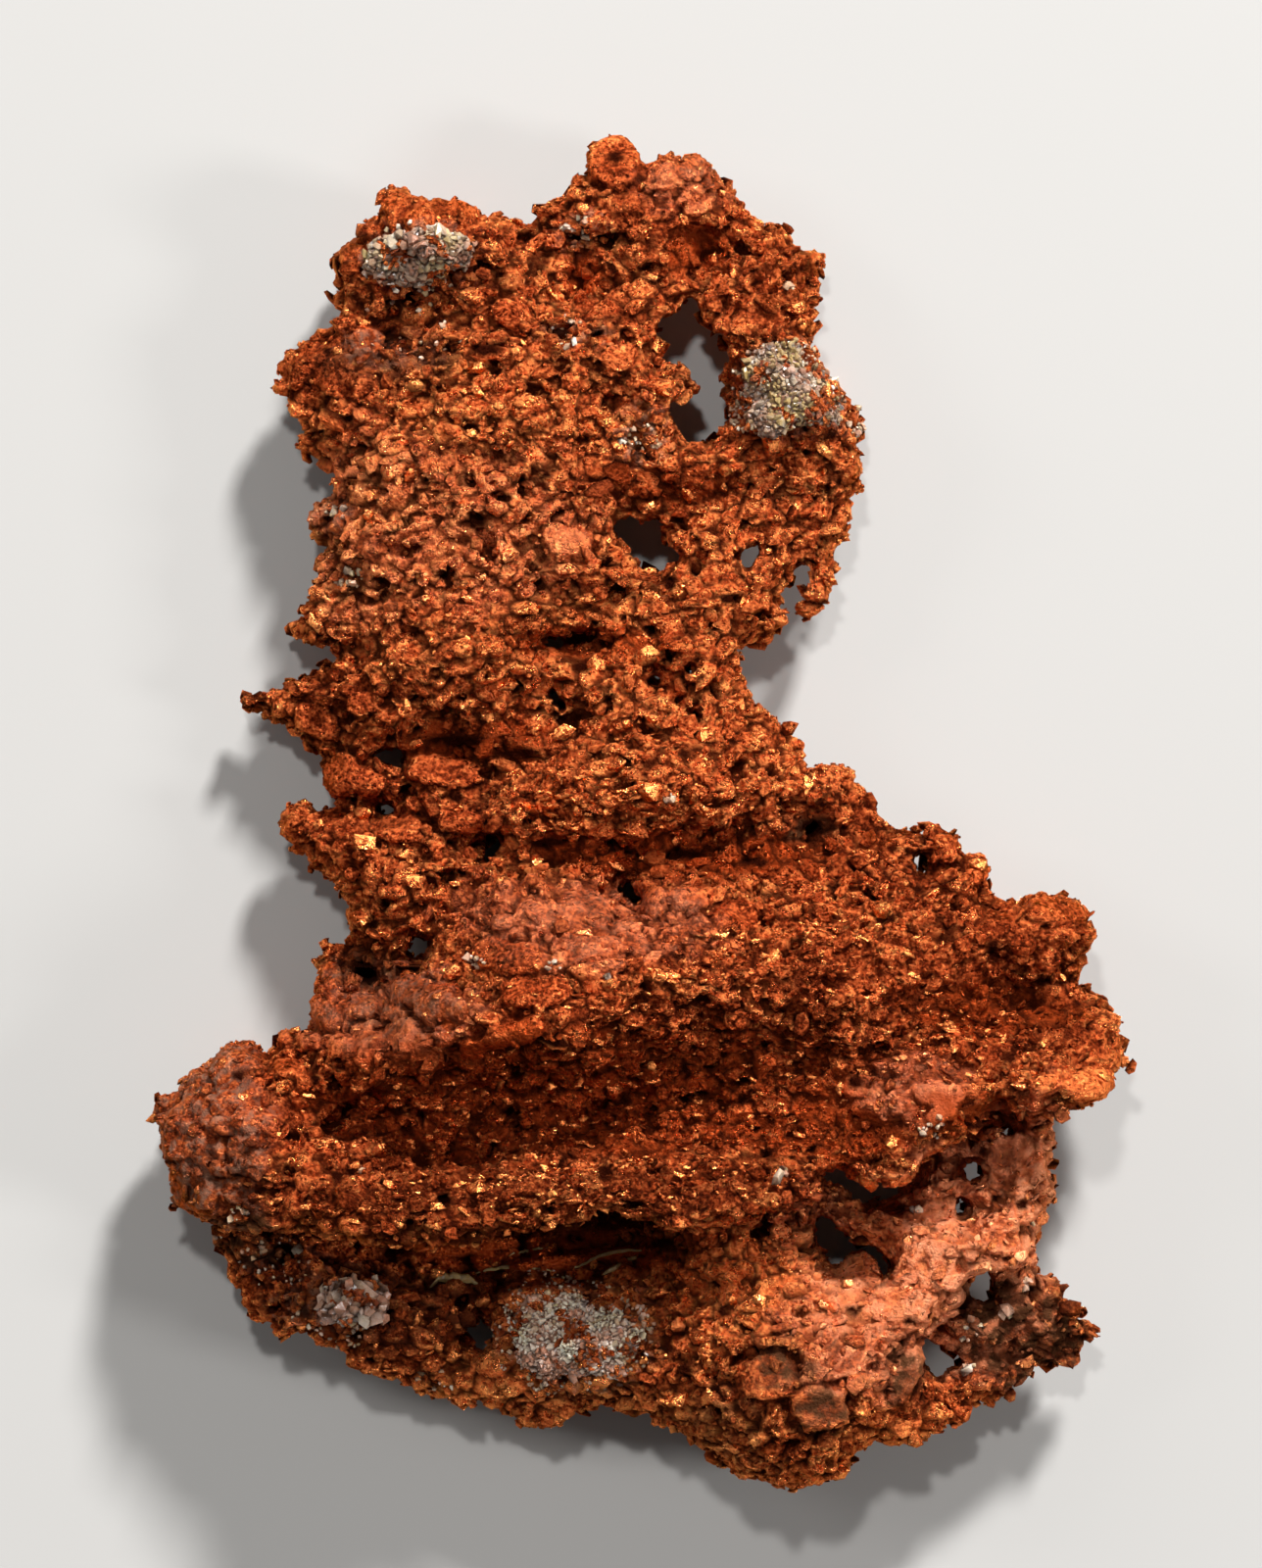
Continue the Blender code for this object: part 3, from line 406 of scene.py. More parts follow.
# Small dark pits of the front: column, row, half width, half height, depth in millimetres.
PITS = (
    (598, 682, 11, 4, 3.0), (590, 733, 8, 5, 3.0), (736, 557, 5, 4, 2.5), (685, 598, 6, 8, 3.0),
    (744, 614, 8, 6, 3.0), (337, 362, 5, 6, 2.5), (431, 829, 9, 4, 2.5), (468, 814, 9, 4, 2.5),
    (457, 851, 7, 3, 2.0), (384, 943, 6, 5, 3.0), (381, 970, 5, 6, 3.0), (327, 1094, 4, 12, 3.0),
    (1015, 1220, 5, 4, 2.5), (630, 164, 7, 6, 1.4), (375, 994, 20, 12, 1.8), (828, 845, 13, 9, 1.8),
    (500, 362, 18, 5, 1.3), (470, 757, 40, 6, 1.5), (535, 770, 24, 5, 1.4), (430, 648, 7, 4, 2.0),
    (520, 512, 6, 5, 1.8), (640, 478, 8, 4, 1.8), (455, 590, 6, 4, 1.8), (700, 770, 7, 5, 2.0),
    (560, 860, 26, 5, 1.5), (700, 872, 30, 5, 1.5), (770, 880, 18, 5, 1.4), (850, 905, 8, 5, 2.0),
    (905, 935, 7, 5, 2.0), (1010, 965, 6, 8, 2.0), (1060, 1000, 8, 5, 1.8), (700, 1090, 6, 12, 2.0),
    (460, 1215, 8, 8, 2.0), (620, 1190, 8, 8, 2.0), (520, 1130, 9, 5, 2.0), (350, 1195, 7, 5, 2.0),
    (760, 1120, 8, 6, 2.0), (640, 1120, 7, 5, 1.8), (410, 1130, 8, 5, 1.8), (870, 1100, 8, 6, 2.0),
    (300, 1190, 6, 6, 1.6), (250, 1095, 6, 5, 1.4), (740, 1330, 8, 5, 1.8), (700, 1390, 8, 6, 1.8),
    (925, 1340, 6, 4, 1.4), (870, 1330, 7, 3, 1.3), (1040, 1225, 6, 4, 1.3), (680, 1265, 12, 6, 2.0),
)

# Middle column and row, half length, half breadth and, where they aren't the usual, turn, rise and shade.
LOBES = tuple(Lobe(*row) for row in (
    (627, 166, 28, 27, 0, 0.9), (432, 230, 17, 11), (475, 218, 17, 10, 20), (361, 265, 14, 15),
    (405, 212, 15, 10, -20), (677, 178, 16, 12), (709, 174, 13, 14), (525, 326, 20, 16, 20),
    (505, 365, 18, 11), (634, 370, 20, 16, 0, 0.4), (378, 350, 18, 16, 0, 0.4),
    (350, 795, 20, 24, 8, 0.6, 0.4), (380, 801, 15, 17, 20, 0.5), (452, 787, 40, 17, 6, 0.7),
    (413, 846, 26, 15, 0, 0.5), (470, 839, 26, 13, 10, 0.5), (374, 718, 19, 13, 0, 0.5),
    (584, 555, 28, 16, 10, 0.3), (326, 738, 24, 14, 30, 0.4), (522, 972, 36, 17, 5, 0.7, 0.7),
    (551, 931, 22, 14, 0, 0.5), (515, 938, 12, 8), (600, 926, 27, 20, -10, 0.4),
    (663, 915, 20, 16, 20, 0.5), (706, 914, 24, 11), (551, 1008, 36, 15, -8, 0.6, 0.8),
    (450, 1018, 24, 20, 0, 0.5, 0.5), (530, 1050, 34, 15, -20, 0.6, 0.8),
    (487, 1067, 15, 12, 0, 0.6, 0.8), (752, 932, 24, 14, 0, 0.5, 0.4), (1075, 928, 32, 14, 5),
    (1040, 965, 14, 9), (953, 1110, 26, 15, 10), (957, 1131, 17, 9), (1106, 1104, 26, 18, -10),
    (1060, 1104, 20, 12, -20), (1005, 1073, 12, 10), (963, 866, 14, 17), (997, 890, 13, 13),
    (248, 1092, 26, 30, -30, 0.35, 0.4), (190, 1160, 24, 22, 30, 0.3, 0.5),
    (202, 1212, 22, 22, -20, 0.3, 0.5), (270, 1138, 26, 14, 10, 0.3), (320, 1060, 13, 11),
    (290, 1055, 10, 11), (300, 1086, 16, 10), (316, 1102, 9, 9), (340, 992, 12, 13, 0, 0.5, 0.5),
    (334, 1031, 16, 18, 0, 0.5, 0.4), (372, 1024, 18, 13, 0, 0.5, 0.5), (425, 1007, 24, 16, 0, 0.5, 0.3),
    (468, 1024, 16, 13, 0, 0.5, 0.6), (352, 1065, 15, 12), (590, 1283, 78, 7, -8, 0.9),
    (557, 1322, 42, 18, 0, 0.5), (470, 1272, 60, 9, -6, 0.6), (925, 1393, 14, 30, 20, 0.9),
    (780, 1395, 30, 22, 0, 0.7), (835, 1425, 30, 24, 0, 0.7),
))


@dataclass(frozen=True)
class LobeMap:
    """The lobes at a map's places: their rise in metres, and from 0 to 1 their inside, gaps and shade."""

    rise: np.ndarray
    inside: np.ndarray
    gap: np.ndarray
    shade: np.ndarray


class FrontMap:
    """Reads the front's patches, lobes and openings at places of the surface."""

    def __init__(self, places: Places) -> None:
        """Work out once what all the readings share.

        Args:
            places: Where the front is read.
        """
        points = places.points
        self.points = points
        self.columns = points[:, 0] / SQUARE + GRID_CENTRE[0]
        self.rows = GRID_CENTRE[1] - points[:, 1] / SQUARE
        self.facing = ease(places.normals[:, 2], -0.35, 0.1)
        self.wobble = swell(points, (3.2, 2.4, 3.0), 7.3) + 0.6 * swell(points, (1.2, 0.9, 1.1), 3.1)

    def kept(self, mask: np.ndarray) -> "FrontMap":
        """The same map at only the places that a mask keeps."""
        some = copy(self)
        vars(some).update({name: values[mask] for name, values in vars(self).items()})
        return some

    def of(self, area: Area) -> np.ndarray:
        """How much each place belongs to one kind of area.

        Args:
            area: Which kind.

        Returns:
            Values from 0 to 1.
        """
        total = np.zeros(len(self.points))
        for patch in PATCHES[area]:
            total = np.maximum(total, patch.weight(self))
        return total * self.facing

    def lobes(self) -> LobeMap:
        """Read the smooth lobes.

        Returns:
            How they rise, where they and the gaps round them are, and how dark they are.
        """
        rise, inside, gap, shade = (np.zeros(len(self.points)) for _ in range(4))
        for lobe in LOBES:
            reach = lobe.reach(self)
            here = 1.0 - ease(reach, 0.90, 1.06)
            rise = np.maximum(rise, 0.55 * lobe.rise * MM * here * (1.0 - 0.3 * np.minimum(reach, 1.0) ** 2))
            inside = np.maximum(inside, here)
            gap = np.maximum(gap, min(1.0, 1.6 * lobe.rise) * np.exp(-(((reach - 1.15) / 0.11) ** 2)))
            shade = np.maximum(shade, lobe.shade * here)
        gap = gap * (1.0 - inside)
        return LobeMap(*(values * self.facing for values in (rise, inside, gap, shade)))

    def near_openings(self, reach: float, holes: bool = True) -> np.ndarray:
        """How near each place is to a hole or a pit.

        Args:
            reach: How far from an opening's edge it is felt, in squares.
            holes: Whether the through holes count as well as the pits.

        Returns:
            Values from 0, away from all of them, to 1, inside one.
        """
        spots = np.stack([self.columns, self.rows], axis=1)
        near = np.zeros(len(spots))
        for outline in HOLES if holes else ():
            near = np.maximum(near, 1.0 - ease(outline_distance(spots, outline), 0.0, reach))
        for column, row, wide, tall, _ in PITS:
            away = np.hypot((self.columns - column) / (wide + reach), (self.rows - row) / (tall + reach))
            near = np.maximum(near, 1.0 - ease(away, 0.6, 1.0))
        return near * ease(self.facing, 0.1, 0.6)


def outline_distance(spots: np.ndarray, outline: Outline) -> np.ndarray:
    """How far places on the grid lie outside an outline.

    Args:
        spots: Places on the drawing grid.
        outline: The outline's corners.

    Returns:
        Distance in squares, negative inside.
    """
    corners = np.array(outline, dtype=float)
    inside = np.zeros(len(spots), dtype=bool)
    nearest = np.full(len(spots), 1e9)
    for start, end in zip(corners, np.roll(corners, -1, axis=0)):
        side = end - start
        along = np.clip(((spots - start) @ side) / (side @ side), 0.0, 1.0)
        nearest = np.minimum(nearest, np.linalg.norm(spots - start - along[:, None] * side, axis=1))
        crosses = (start[1] > spots[:, 1]) != (end[1] > spots[:, 1])
        rise = side[1] if abs(side[1]) > 1e-9 else 1e-9
        inside ^= crosses & (spots[:, 0] < start[0] + (spots[:, 1] - start[1]) / rise * side[0])
    return np.where(inside, -nearest, nearest)


# ---------------------------------------------------------------- meshes
def new_piece(name: str, data: bpy.types.ID) -> bpy.types.Object:
    """Link a mesh, a light or a camera to the scene as an object."""
    piece = bpy.data.objects.new(name, data)
    bpy.context.scene.collection.objects.link(piece)
    return piece


def finished(work: bmesh.types.BMesh, name: str) -> bpy.types.Mesh:
    """Turn a mesh being built into a real one."""
    mesh = bpy.data.meshes.new(name)
    work.to_mesh(mesh)
    work.free()
    return mesh


def settle(piece: bpy.types.Object) -> None:
    """Make a piece's shape after its modifiers its own mesh.

    Args:
        piece: The piece.
    """
    depsgraph = bpy.context.evaluated_depsgraph_get()
    depsgraph.update()
    mesh = bpy.data.meshes.new_from_object(piece.evaluated_get(depsgraph), depsgraph=depsgraph)
    piece.modifiers.clear()
    piece.data = mesh


def remesh(piece: bpy.types.Object, voxel: float, rounds: int = 0) -> None:
    """Rebuild a piece's skin on even voxels and smooth it.

    Args:
        piece: The piece to rebuild.
        voxel: Size of the voxels in metres.
        rounds: How many rounds of smoothing follow.
    """
    even = piece.modifiers.new("Even skin", "REMESH")
    even.mode = "VOXEL"
    even.voxel_size = voxel
    if rounds:
        soft = piece.modifiers.new("Soft skin", "SMOOTH")
        soft.factor = 0.5
        soft.iterations = rounds
    settle(piece)


def solid_copy(node: str, name: str) -> bpy.types.Object:
    """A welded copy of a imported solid.

    Args:
        node: The solid's node.
        name: The copy's name.

    Returns:
        The new piece.
    """
    work = bmesh.new()
    work.from_mesh(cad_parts[node].data)
    bmesh.ops.remove_doubles(work, verts=work.verts, dist=0.001 * MM)
    return new_piece(name, finished(work, name))


def surface_of(piece: bpy.types.Object) -> BVHTree:
    """A piece's surface, to cast rays at."""
    return BVHTree.FromObject(piece, bpy.context.evaluated_depsgraph_get())


def front_at(surface: BVHTree, column: float, row: float) -> tuple[Vector | None, Vector | None]:
    """Where a surface is met from above at a point of the drawing grid, and how it faces there."""
    start = Vector((*to_metres(column, row), ABOVE))
    return surface.ray_cast(start, Vector((0.0, 0.0, -1.0)))[:2]


def add_prism(
    work: bmesh.types.BMesh, outline: list[tuple[float, float]], bottom: float, lean: float
) -> None:
    """Add an upright closed prism to a mesh being built.

    Args:
        work: The mesh being built.
        outline: Its corners in metres.
        bottom: Its lower height.
        lean: Size of its lower end as a share of its upper end.
    """
    middle = np.mean(outline, axis=0)
    low = [work.verts.new((*(middle + lean * (np.array(spot) - middle)), bottom)) for spot in outline]
    high = [work.verts.new((*spot, CUT_TOP)) for spot in outline]
    work.faces.new(low)
    work.faces.new(high)
    for index in range(len(outline)):
        after = (index + 1) % len(outline)
        work.faces.new((low[index], low[after], high[after], high[index]))


def cut_openings(piece: bpy.types.Object, chance: Chance, corners: int = 9) -> None:
    """Cut the holes and pits of the front out of a piece.

    Args:
        piece: The piece to cut.
        chance: The seeded source of chance.
        corners: How many corners a pit has.
    """
    surface = surface_of(piece)
    work = bmesh.new()
    for outline in HOLES:
        add_prism(work, [to_metres(*spot) for spot in outline], CUT_BOTTOM, 0.9)
    for column, row, wide, tall, deep in PITS:
        hit, _ = front_at(surface, column, row)
        if hit is None:
            continue
        turns = np.linspace(0.0, math.tau, corners, endpoint=False) + chance.uniform(-0.2, 0.2, corners)
        reach = chance.uniform(0.75, 1.25, corners)
        ring = [
            to_metres(column + wide * share * math.cos(turn), row + tall * share * math.sin(turn))
            for turn, share in zip(turns, reach)
        ]
        add_prism(work, ring, hit.z - deep * MM, 0.6)
    bmesh.ops.recalc_face_normals(work, faces=work.faces)
    cutters = new_piece("cutters", finished(work, "cutters"))
    cut = piece.modifiers.new("Openings", "BOOLEAN")
    cut.object = cutters
    cut.operation = "DIFFERENCE"
    cut.solver = "EXACT"
    cut.use_self = True
    settle(piece)
    bpy.data.objects.remove(cutters, do_unlink=True)


def mesh_of(name: str, points: np.ndarray, triangles: np.ndarray) -> bpy.types.Mesh:
    """Make a mesh from arrays.

    Args:
        name: The mesh's name.
        points: One row a vertex.
        triangles: One row of three vertices a face.

    Returns:
        The mesh, flat shaded.
    """
    mesh = bpy.data.meshes.new(name)
    mesh.vertices.add(len(points))
    mesh.vertices.foreach_set("co", points.astype(np.float32).ravel())
    mesh.loops.add(triangles.size)
    mesh.loops.foreach_set("vertex_index", triangles.astype(np.int32).ravel())
    mesh.polygons.add(len(triangles))
    mesh.polygons.foreach_set("loop_start", np.arange(0, triangles.size, 3, dtype=np.int32))
    mesh.update(calc_edges=True)
    mesh.shade_flat()
    return mesh


def set_marks(mesh: bpy.types.Mesh, marks: dict[str, np.ndarray]) -> None:
    """Store the values that the finishes read on a mesh's vertices.

    Args:
        mesh: The mesh to mark.
        marks: One array of values for each name.
    """
    for name, values in marks.items():
        attribute = mesh.attributes.new(name, "FLOAT", "POINT")
        attribute.data.foreach_set("value", values.astype(np.float32))


def join_meshes(name: str, meshes: list[bpy.types.Mesh], marks: tuple[str, ...]) -> bpy.types.Mesh:
    """Put several meshes and their marks in one.

    Args:
        name: The new mesh's name.
        meshes: The meshes to join.
        marks: The names of the marks they all have.

    Returns:
        The joined mesh.
    """
    points, triangles, values = [], [], {mark: [] for mark in marks}
    start = 0
    for mesh in meshes:
        triangles.append(read_corners(mesh) + start)
        points.append(read(mesh.vertices, "co", 3))
        for mark in marks:
            values[mark].append(read(mesh.attributes[mark].data, "value", 1, np.float32).ravel())
        start += len(mesh.vertices)
    joined = mesh_of(name, np.concatenate(points), np.concatenate(triangles))
    set_marks(joined, {mark: np.concatenate(parts) for mark, parts in values.items()})
    return joined


# ---------------------------------------------------------------- grains
@dataclass(frozen=True)
class GrainShape:
    """A closed faceted grain about one unit across."""

    points: np.ndarray
    triangles: np.ndarray


@dataclass(frozen=True)
class Cut:
    """How a set of grain shapes is cut.

    Attributes:
        corners: How many corners each has.
        blocky: From 0 for round grains to 1 for square ones.
        ragged: How uneven their corners are.
        kinds: How many shapes there are in the set.
    """

    corners: int
    blocky: float
    ragged: float
    kinds: int = 12

    def shapes(self, chance: Chance) -> list[GrainShape]:
        """Cut the whole set."""
        return [self.shape(chance) for _ in range(self.kinds)]

    def shape(self, chance: Chance) -> GrainShape:
        """Cut one grain.

        Args:
            chance: The seeded source of chance.

        Returns:
            The grain.
        """
        golden = math.pi * (3.0 - math.sqrt(5.0))
        turn = golden * np.arange(self.corners)
        height = 1.0 - 2.0 * (np.arange(self.corners) + 0.5) / self.corners
        ring = np.sqrt(1.0 - height**2)
        sphere = np.stack([ring * np.cos(turn), ring * np.sin(turn), height], axis=1)
        sphere += chance.normal(0.0, 0.16, sphere.shape)
        sphere /= np.linalg.norm(sphere, axis=1)[:, None]
        work = bmesh.new()
        for point in sphere:
            work.verts.new(point)
        work.verts.index_update()
        bmesh.ops.convex_hull(work, input=work.verts)
        bmesh.ops.triangulate(work, faces=work.faces)
        bmesh.ops.recalc_face_normals(work, faces=work.faces)
        work.verts.ensure_lookup_table()
        triangles = np.array([[vert.index for vert in face.verts] for face in work.faces])
        work.free()
        block = sphere / np.abs(sphere).max(axis=1)[:, None]
        reach = np.exp(chance.normal(0.0, self.ragged, self.corners))[:, None]
        return GrainShape(0.5 * reach * ((1.0 - self.blocky) * sphere + self.blocky * block), triangles)


def scatter_on(mesh: bpy.types.Mesh, count: int, chance: Chance) -> Places:
    """Spread places evenly over a mesh's area.

    Args:
        mesh: The surface.
        count: How many places.
        chance: The seeded source of chance.

    Returns:
        The places.
    """
    corners = read_corners(mesh)
    vertices = Places.of(mesh)
    first, second, third = (vertices.points[corners[:, index]] for index in range(3))
    areas = 0.5 * np.linalg.norm(np.cross(second - first, third - first), axis=1)
    chosen = chance.choice(len(areas), size=count, p=areas / areas.sum())
    a, b = chance.random((2, count))
    flip = a + b > 1.0
    a[flip], b[flip] = 1.0 - a[flip], 1.0 - b[flip]
    shares = np.stack([1.0 - a - b, a, b], axis=1)[:, :, None]
    spots = (vertices.points[corners[chosen]] * shares).sum(axis=1)
    facing = (vertices.normals[corners[chosen]] * shares).sum(axis=1)
    facing /= np.linalg.norm(facing, axis=1)[:, None]
    return Places(spots, facing)


def spaced(places: Places, gaps: np.ndarray) -> np.ndarray:
    """Thin places out so that none is nearer to a kept one than that one's gap.

    Args:
        places: Candidate places.
        gaps: The least distance that each keeps, in metres.

    Returns:
        A mask of the places kept.
    """
    tree = KDTree(len(places))
    for index, point in enumerate(places.points):
        tree.insert(point, index)
    tree.balance()
    dropped = np.zeros(len(places), dtype=bool)
    kept = np.zeros(len(places), dtype=bool)
    for index, point in enumerate(places.points):
        if dropped[index]:
            continue
        kept[index] = True
        for _, other, _ in tree.find_range(point, gaps[index]):
            dropped[other] = not kept[other]
    return kept


def frames_for(places: Places, tilt: float, twist: float, chance: Chance,
               bowed: np.ndarray | float = 0.0) -> np.ndarray:
    """Axes for grains that lie across the figure.

    Args:
        places: Where the grains sit.
        tilt: How far a grain leans, as a share of its normal.
        twist: How far its long axis turns from side to side, in radians.
        chance: The seeded source of chance.
        bowed: How far each grain leans the way that all bright facets face.

    Returns:
        One matrix a grain, whose columns are its long, short and outward axes.
    """
    normals = places.normals
    up = normals + chance.normal(0.0, tilt, normals.shape)
    up += (np.zeros(len(normals)) + bowed)[:, None] * np.array(BRIGHT_FACING)
    up /= np.linalg.norm(up, axis=1)[:, None]
    angle = chance.normal(0.0, twist, len(normals))
    lie = np.stack([np.cos(angle), np.sin(angle), np.zeros(len(angle))], axis=1)
    lie -= up * (lie * up).sum(axis=1)[:, None]
    lie /= np.maximum(np.linalg.norm(lie, axis=1), 1e-6)[:, None]
    return np.stack([lie, np.cross(up, lie), up], axis=2)


@dataclass
class Grains:
    """Many grains for one mesh: their places, their sizes in metres, their axes and their marks."""

    places: Places
    sizes: np.ndarray
    axes: np.ndarray
    marks: dict[str, np.ndarray]

    def kept(self, mask: np.ndarray) -> "Grains":
        """Only the grains that a mask keeps."""
        marks = {key: values[mask] for key, values in self.marks.items()}
        return Grains(self.places.kept(mask), self.sizes[mask], self.axes[mask], marks)

    def mesh(self, name: str, shapes: list[GrainShape], chance: Chance) -> bpy.types.Mesh:
        """Join the grains in one mesh above the floor, with painted shade on their feet.

        Args:
            name: The mesh's name.
            shapes: The grain shapes to draw from.
            chance: The seeded source of chance.

        Returns:
            The joined mesh.
        """
        kinds = chance.integers(0, len(shapes), len(self.places))
        all_points, all_triangles, owners, feet = [], [], [], []
        start = 0
        for kind, shape in enumerate(shapes):
            mine = np.flatnonzero(kinds == kind)
            local = shape.points[None, :, :] * self.sizes[mine][:, None, :]
            turned = np.einsum("gij,gpj->gpi", self.axes[mine], local) + self.places.points[mine][:, None, :]
            offsets = start + np.arange(len(mine))[:, None, None] * len(shape.points)
            all_points.append(turned.reshape(-1, 3))
            all_triangles.append((shape.triangles[None, :, :] + offsets).reshape(-1, 3))
            owners.append(np.repeat(mine, len(shape.points)))
            # Painted shade: the lower part of each grain is darkened.
            feet.append(np.tile(ease(-shape.points[:, 2], -0.22, 0.18), len(mine)))
            start += len(mine) * len(shape.points)
        points = np.concatenate(all_points)
        points[:, 2] = np.maximum(points[:, 2], 0.0)
        mesh = mesh_of(name, points, np.concatenate(all_triangles))
        owner = np.concatenate(owners)
        spread = {key: values[owner] for key, values in self.marks.items()}
        spread["hollow"] = np.clip(spread["hollow"] + np.concatenate(feet), 0.0, 1.0)
        set_marks(mesh, spread)
        return mesh


# ---------------------------------------------------------------- finishes
Socket = bpy.types.NodeSocket


class Desk:
    """Short ways to add and join the nodes of one material."""

    def __init__(self, name: str) -> None:
        """Start a material with a Principled shader.

        Args:
            name: The material's name.
        """
        self.material = bpy.data.materials.new(name)
        self.material.use_nodes = True
        self.tree = self.material.node_tree
        self.shader = self.tree.nodes["Principled BSDF"]
        self.place = self.add("ShaderNodeTexCoord").outputs["Object"]

    def add(self, kind: str) -> bpy.types.Node:
        """A new node of a kind."""
        return self.tree.nodes.new(kind)

    def join(self, source: Socket | Colour | float, target: Socket) -> None:
        """Feed a socket from another socket, a colour or a plain number."""
        if isinstance(source, Socket):
            self.tree.links.new(source, target)
        else:
            target.default_value = (*source, 1.0) if isinstance(source, tuple) else source

    def mark(self, name: str) -> Socket:
        """A value stored on the mesh."""
        node = self.add("ShaderNodeAttribute")
        node.attribute_name = name
        return node.outputs["Fac"]

    def grain(self, size: float, detail: float = 3.0, rough: float = 0.55) -> Socket:
        """Noise with swells of a size in metres."""
        node = self.add("ShaderNodeTexNoise")
        sources = (("Scale", 1.0 / size), ("Detail", detail), ("Roughness", rough), ("Vector", self.place))
        for key, source in sources:
            self.join(source, node.inputs[key])
        return node.outputs["Fac"]

    def maths(self, kind: str, first: Socket, second: Socket | float, third: Socket | float = 0.0) -> Socket:
        """A maths node of up to three inputs, held between 0 and 1."""
        node = self.add("ShaderNodeMath")
        node.operation = kind
        node.use_clamp = True
        for source, target in zip((first, second, third), node.inputs):
            self.join(source, target)
        return node.outputs[0]

    def times(self, first: Socket, second: Socket | float) -> Socket:
        """One value times another."""
        return self.maths("MULTIPLY", first, second)

    def laid(self, first: Socket, share: float, base: Socket) -> Socket:
        """A share of one value added to another."""
        return self.maths("MULTIPLY_ADD", first, share, base)

    def band(
        self, value: Socket, low: float, high: float, to_low: float = 0.0, to_high: float = 1.0
    ) -> Socket:
        """A value stretched from one range to another, and held there."""
        node = self.add("ShaderNodeMapRange")
        node.interpolation_type = "SMOOTHSTEP"
        self.join(value, node.inputs["Value"])
        for key, number in zip(("From Min", "From Max", "To Min", "To Max"), (low, high, to_low, to_high)):
            self.join(number, node.inputs[key])
        return node.outputs["Result"]

    def ramp(self, value: Socket, stops: tuple[tuple[float, Colour], ...]) -> Socket:
        """Colours along a value."""
        node = self.add("ShaderNodeValToRGB")
        elements = node.color_ramp.elements
        while len(elements) < len(stops):
            elements.new(1.0)
        for element, (position, colour) in zip(elements, stops):
            element.position = position
            element.color = (*colour, 1.0)
        self.join(value, node.inputs["Fac"])
        return node.outputs["Color"]

    def over(self, share: Socket, first: Socket, second: Colour) -> Socket:
        """A colour laid over what is there, by a share."""
        node = self.add("ShaderNodeMix")
        node.data_type = "RGBA"
        for source, target in ((share, node.inputs[0]), (first, node.inputs[6]), (second, node.inputs[7])):
            self.join(source, target)
        return node.outputs[2]

    def bump(self, height: Socket, depth: float, strength: float) -> None:
        """Give the shader a fine relief of a depth in metres."""
        node = self.add("ShaderNodeBump")
        for key, source in (("Strength", strength), ("Distance", depth), ("Height", height)):
            self.join(source, node.inputs[key])
        self.join(node.outputs["Normal"], self.shader.inputs["Normal"])


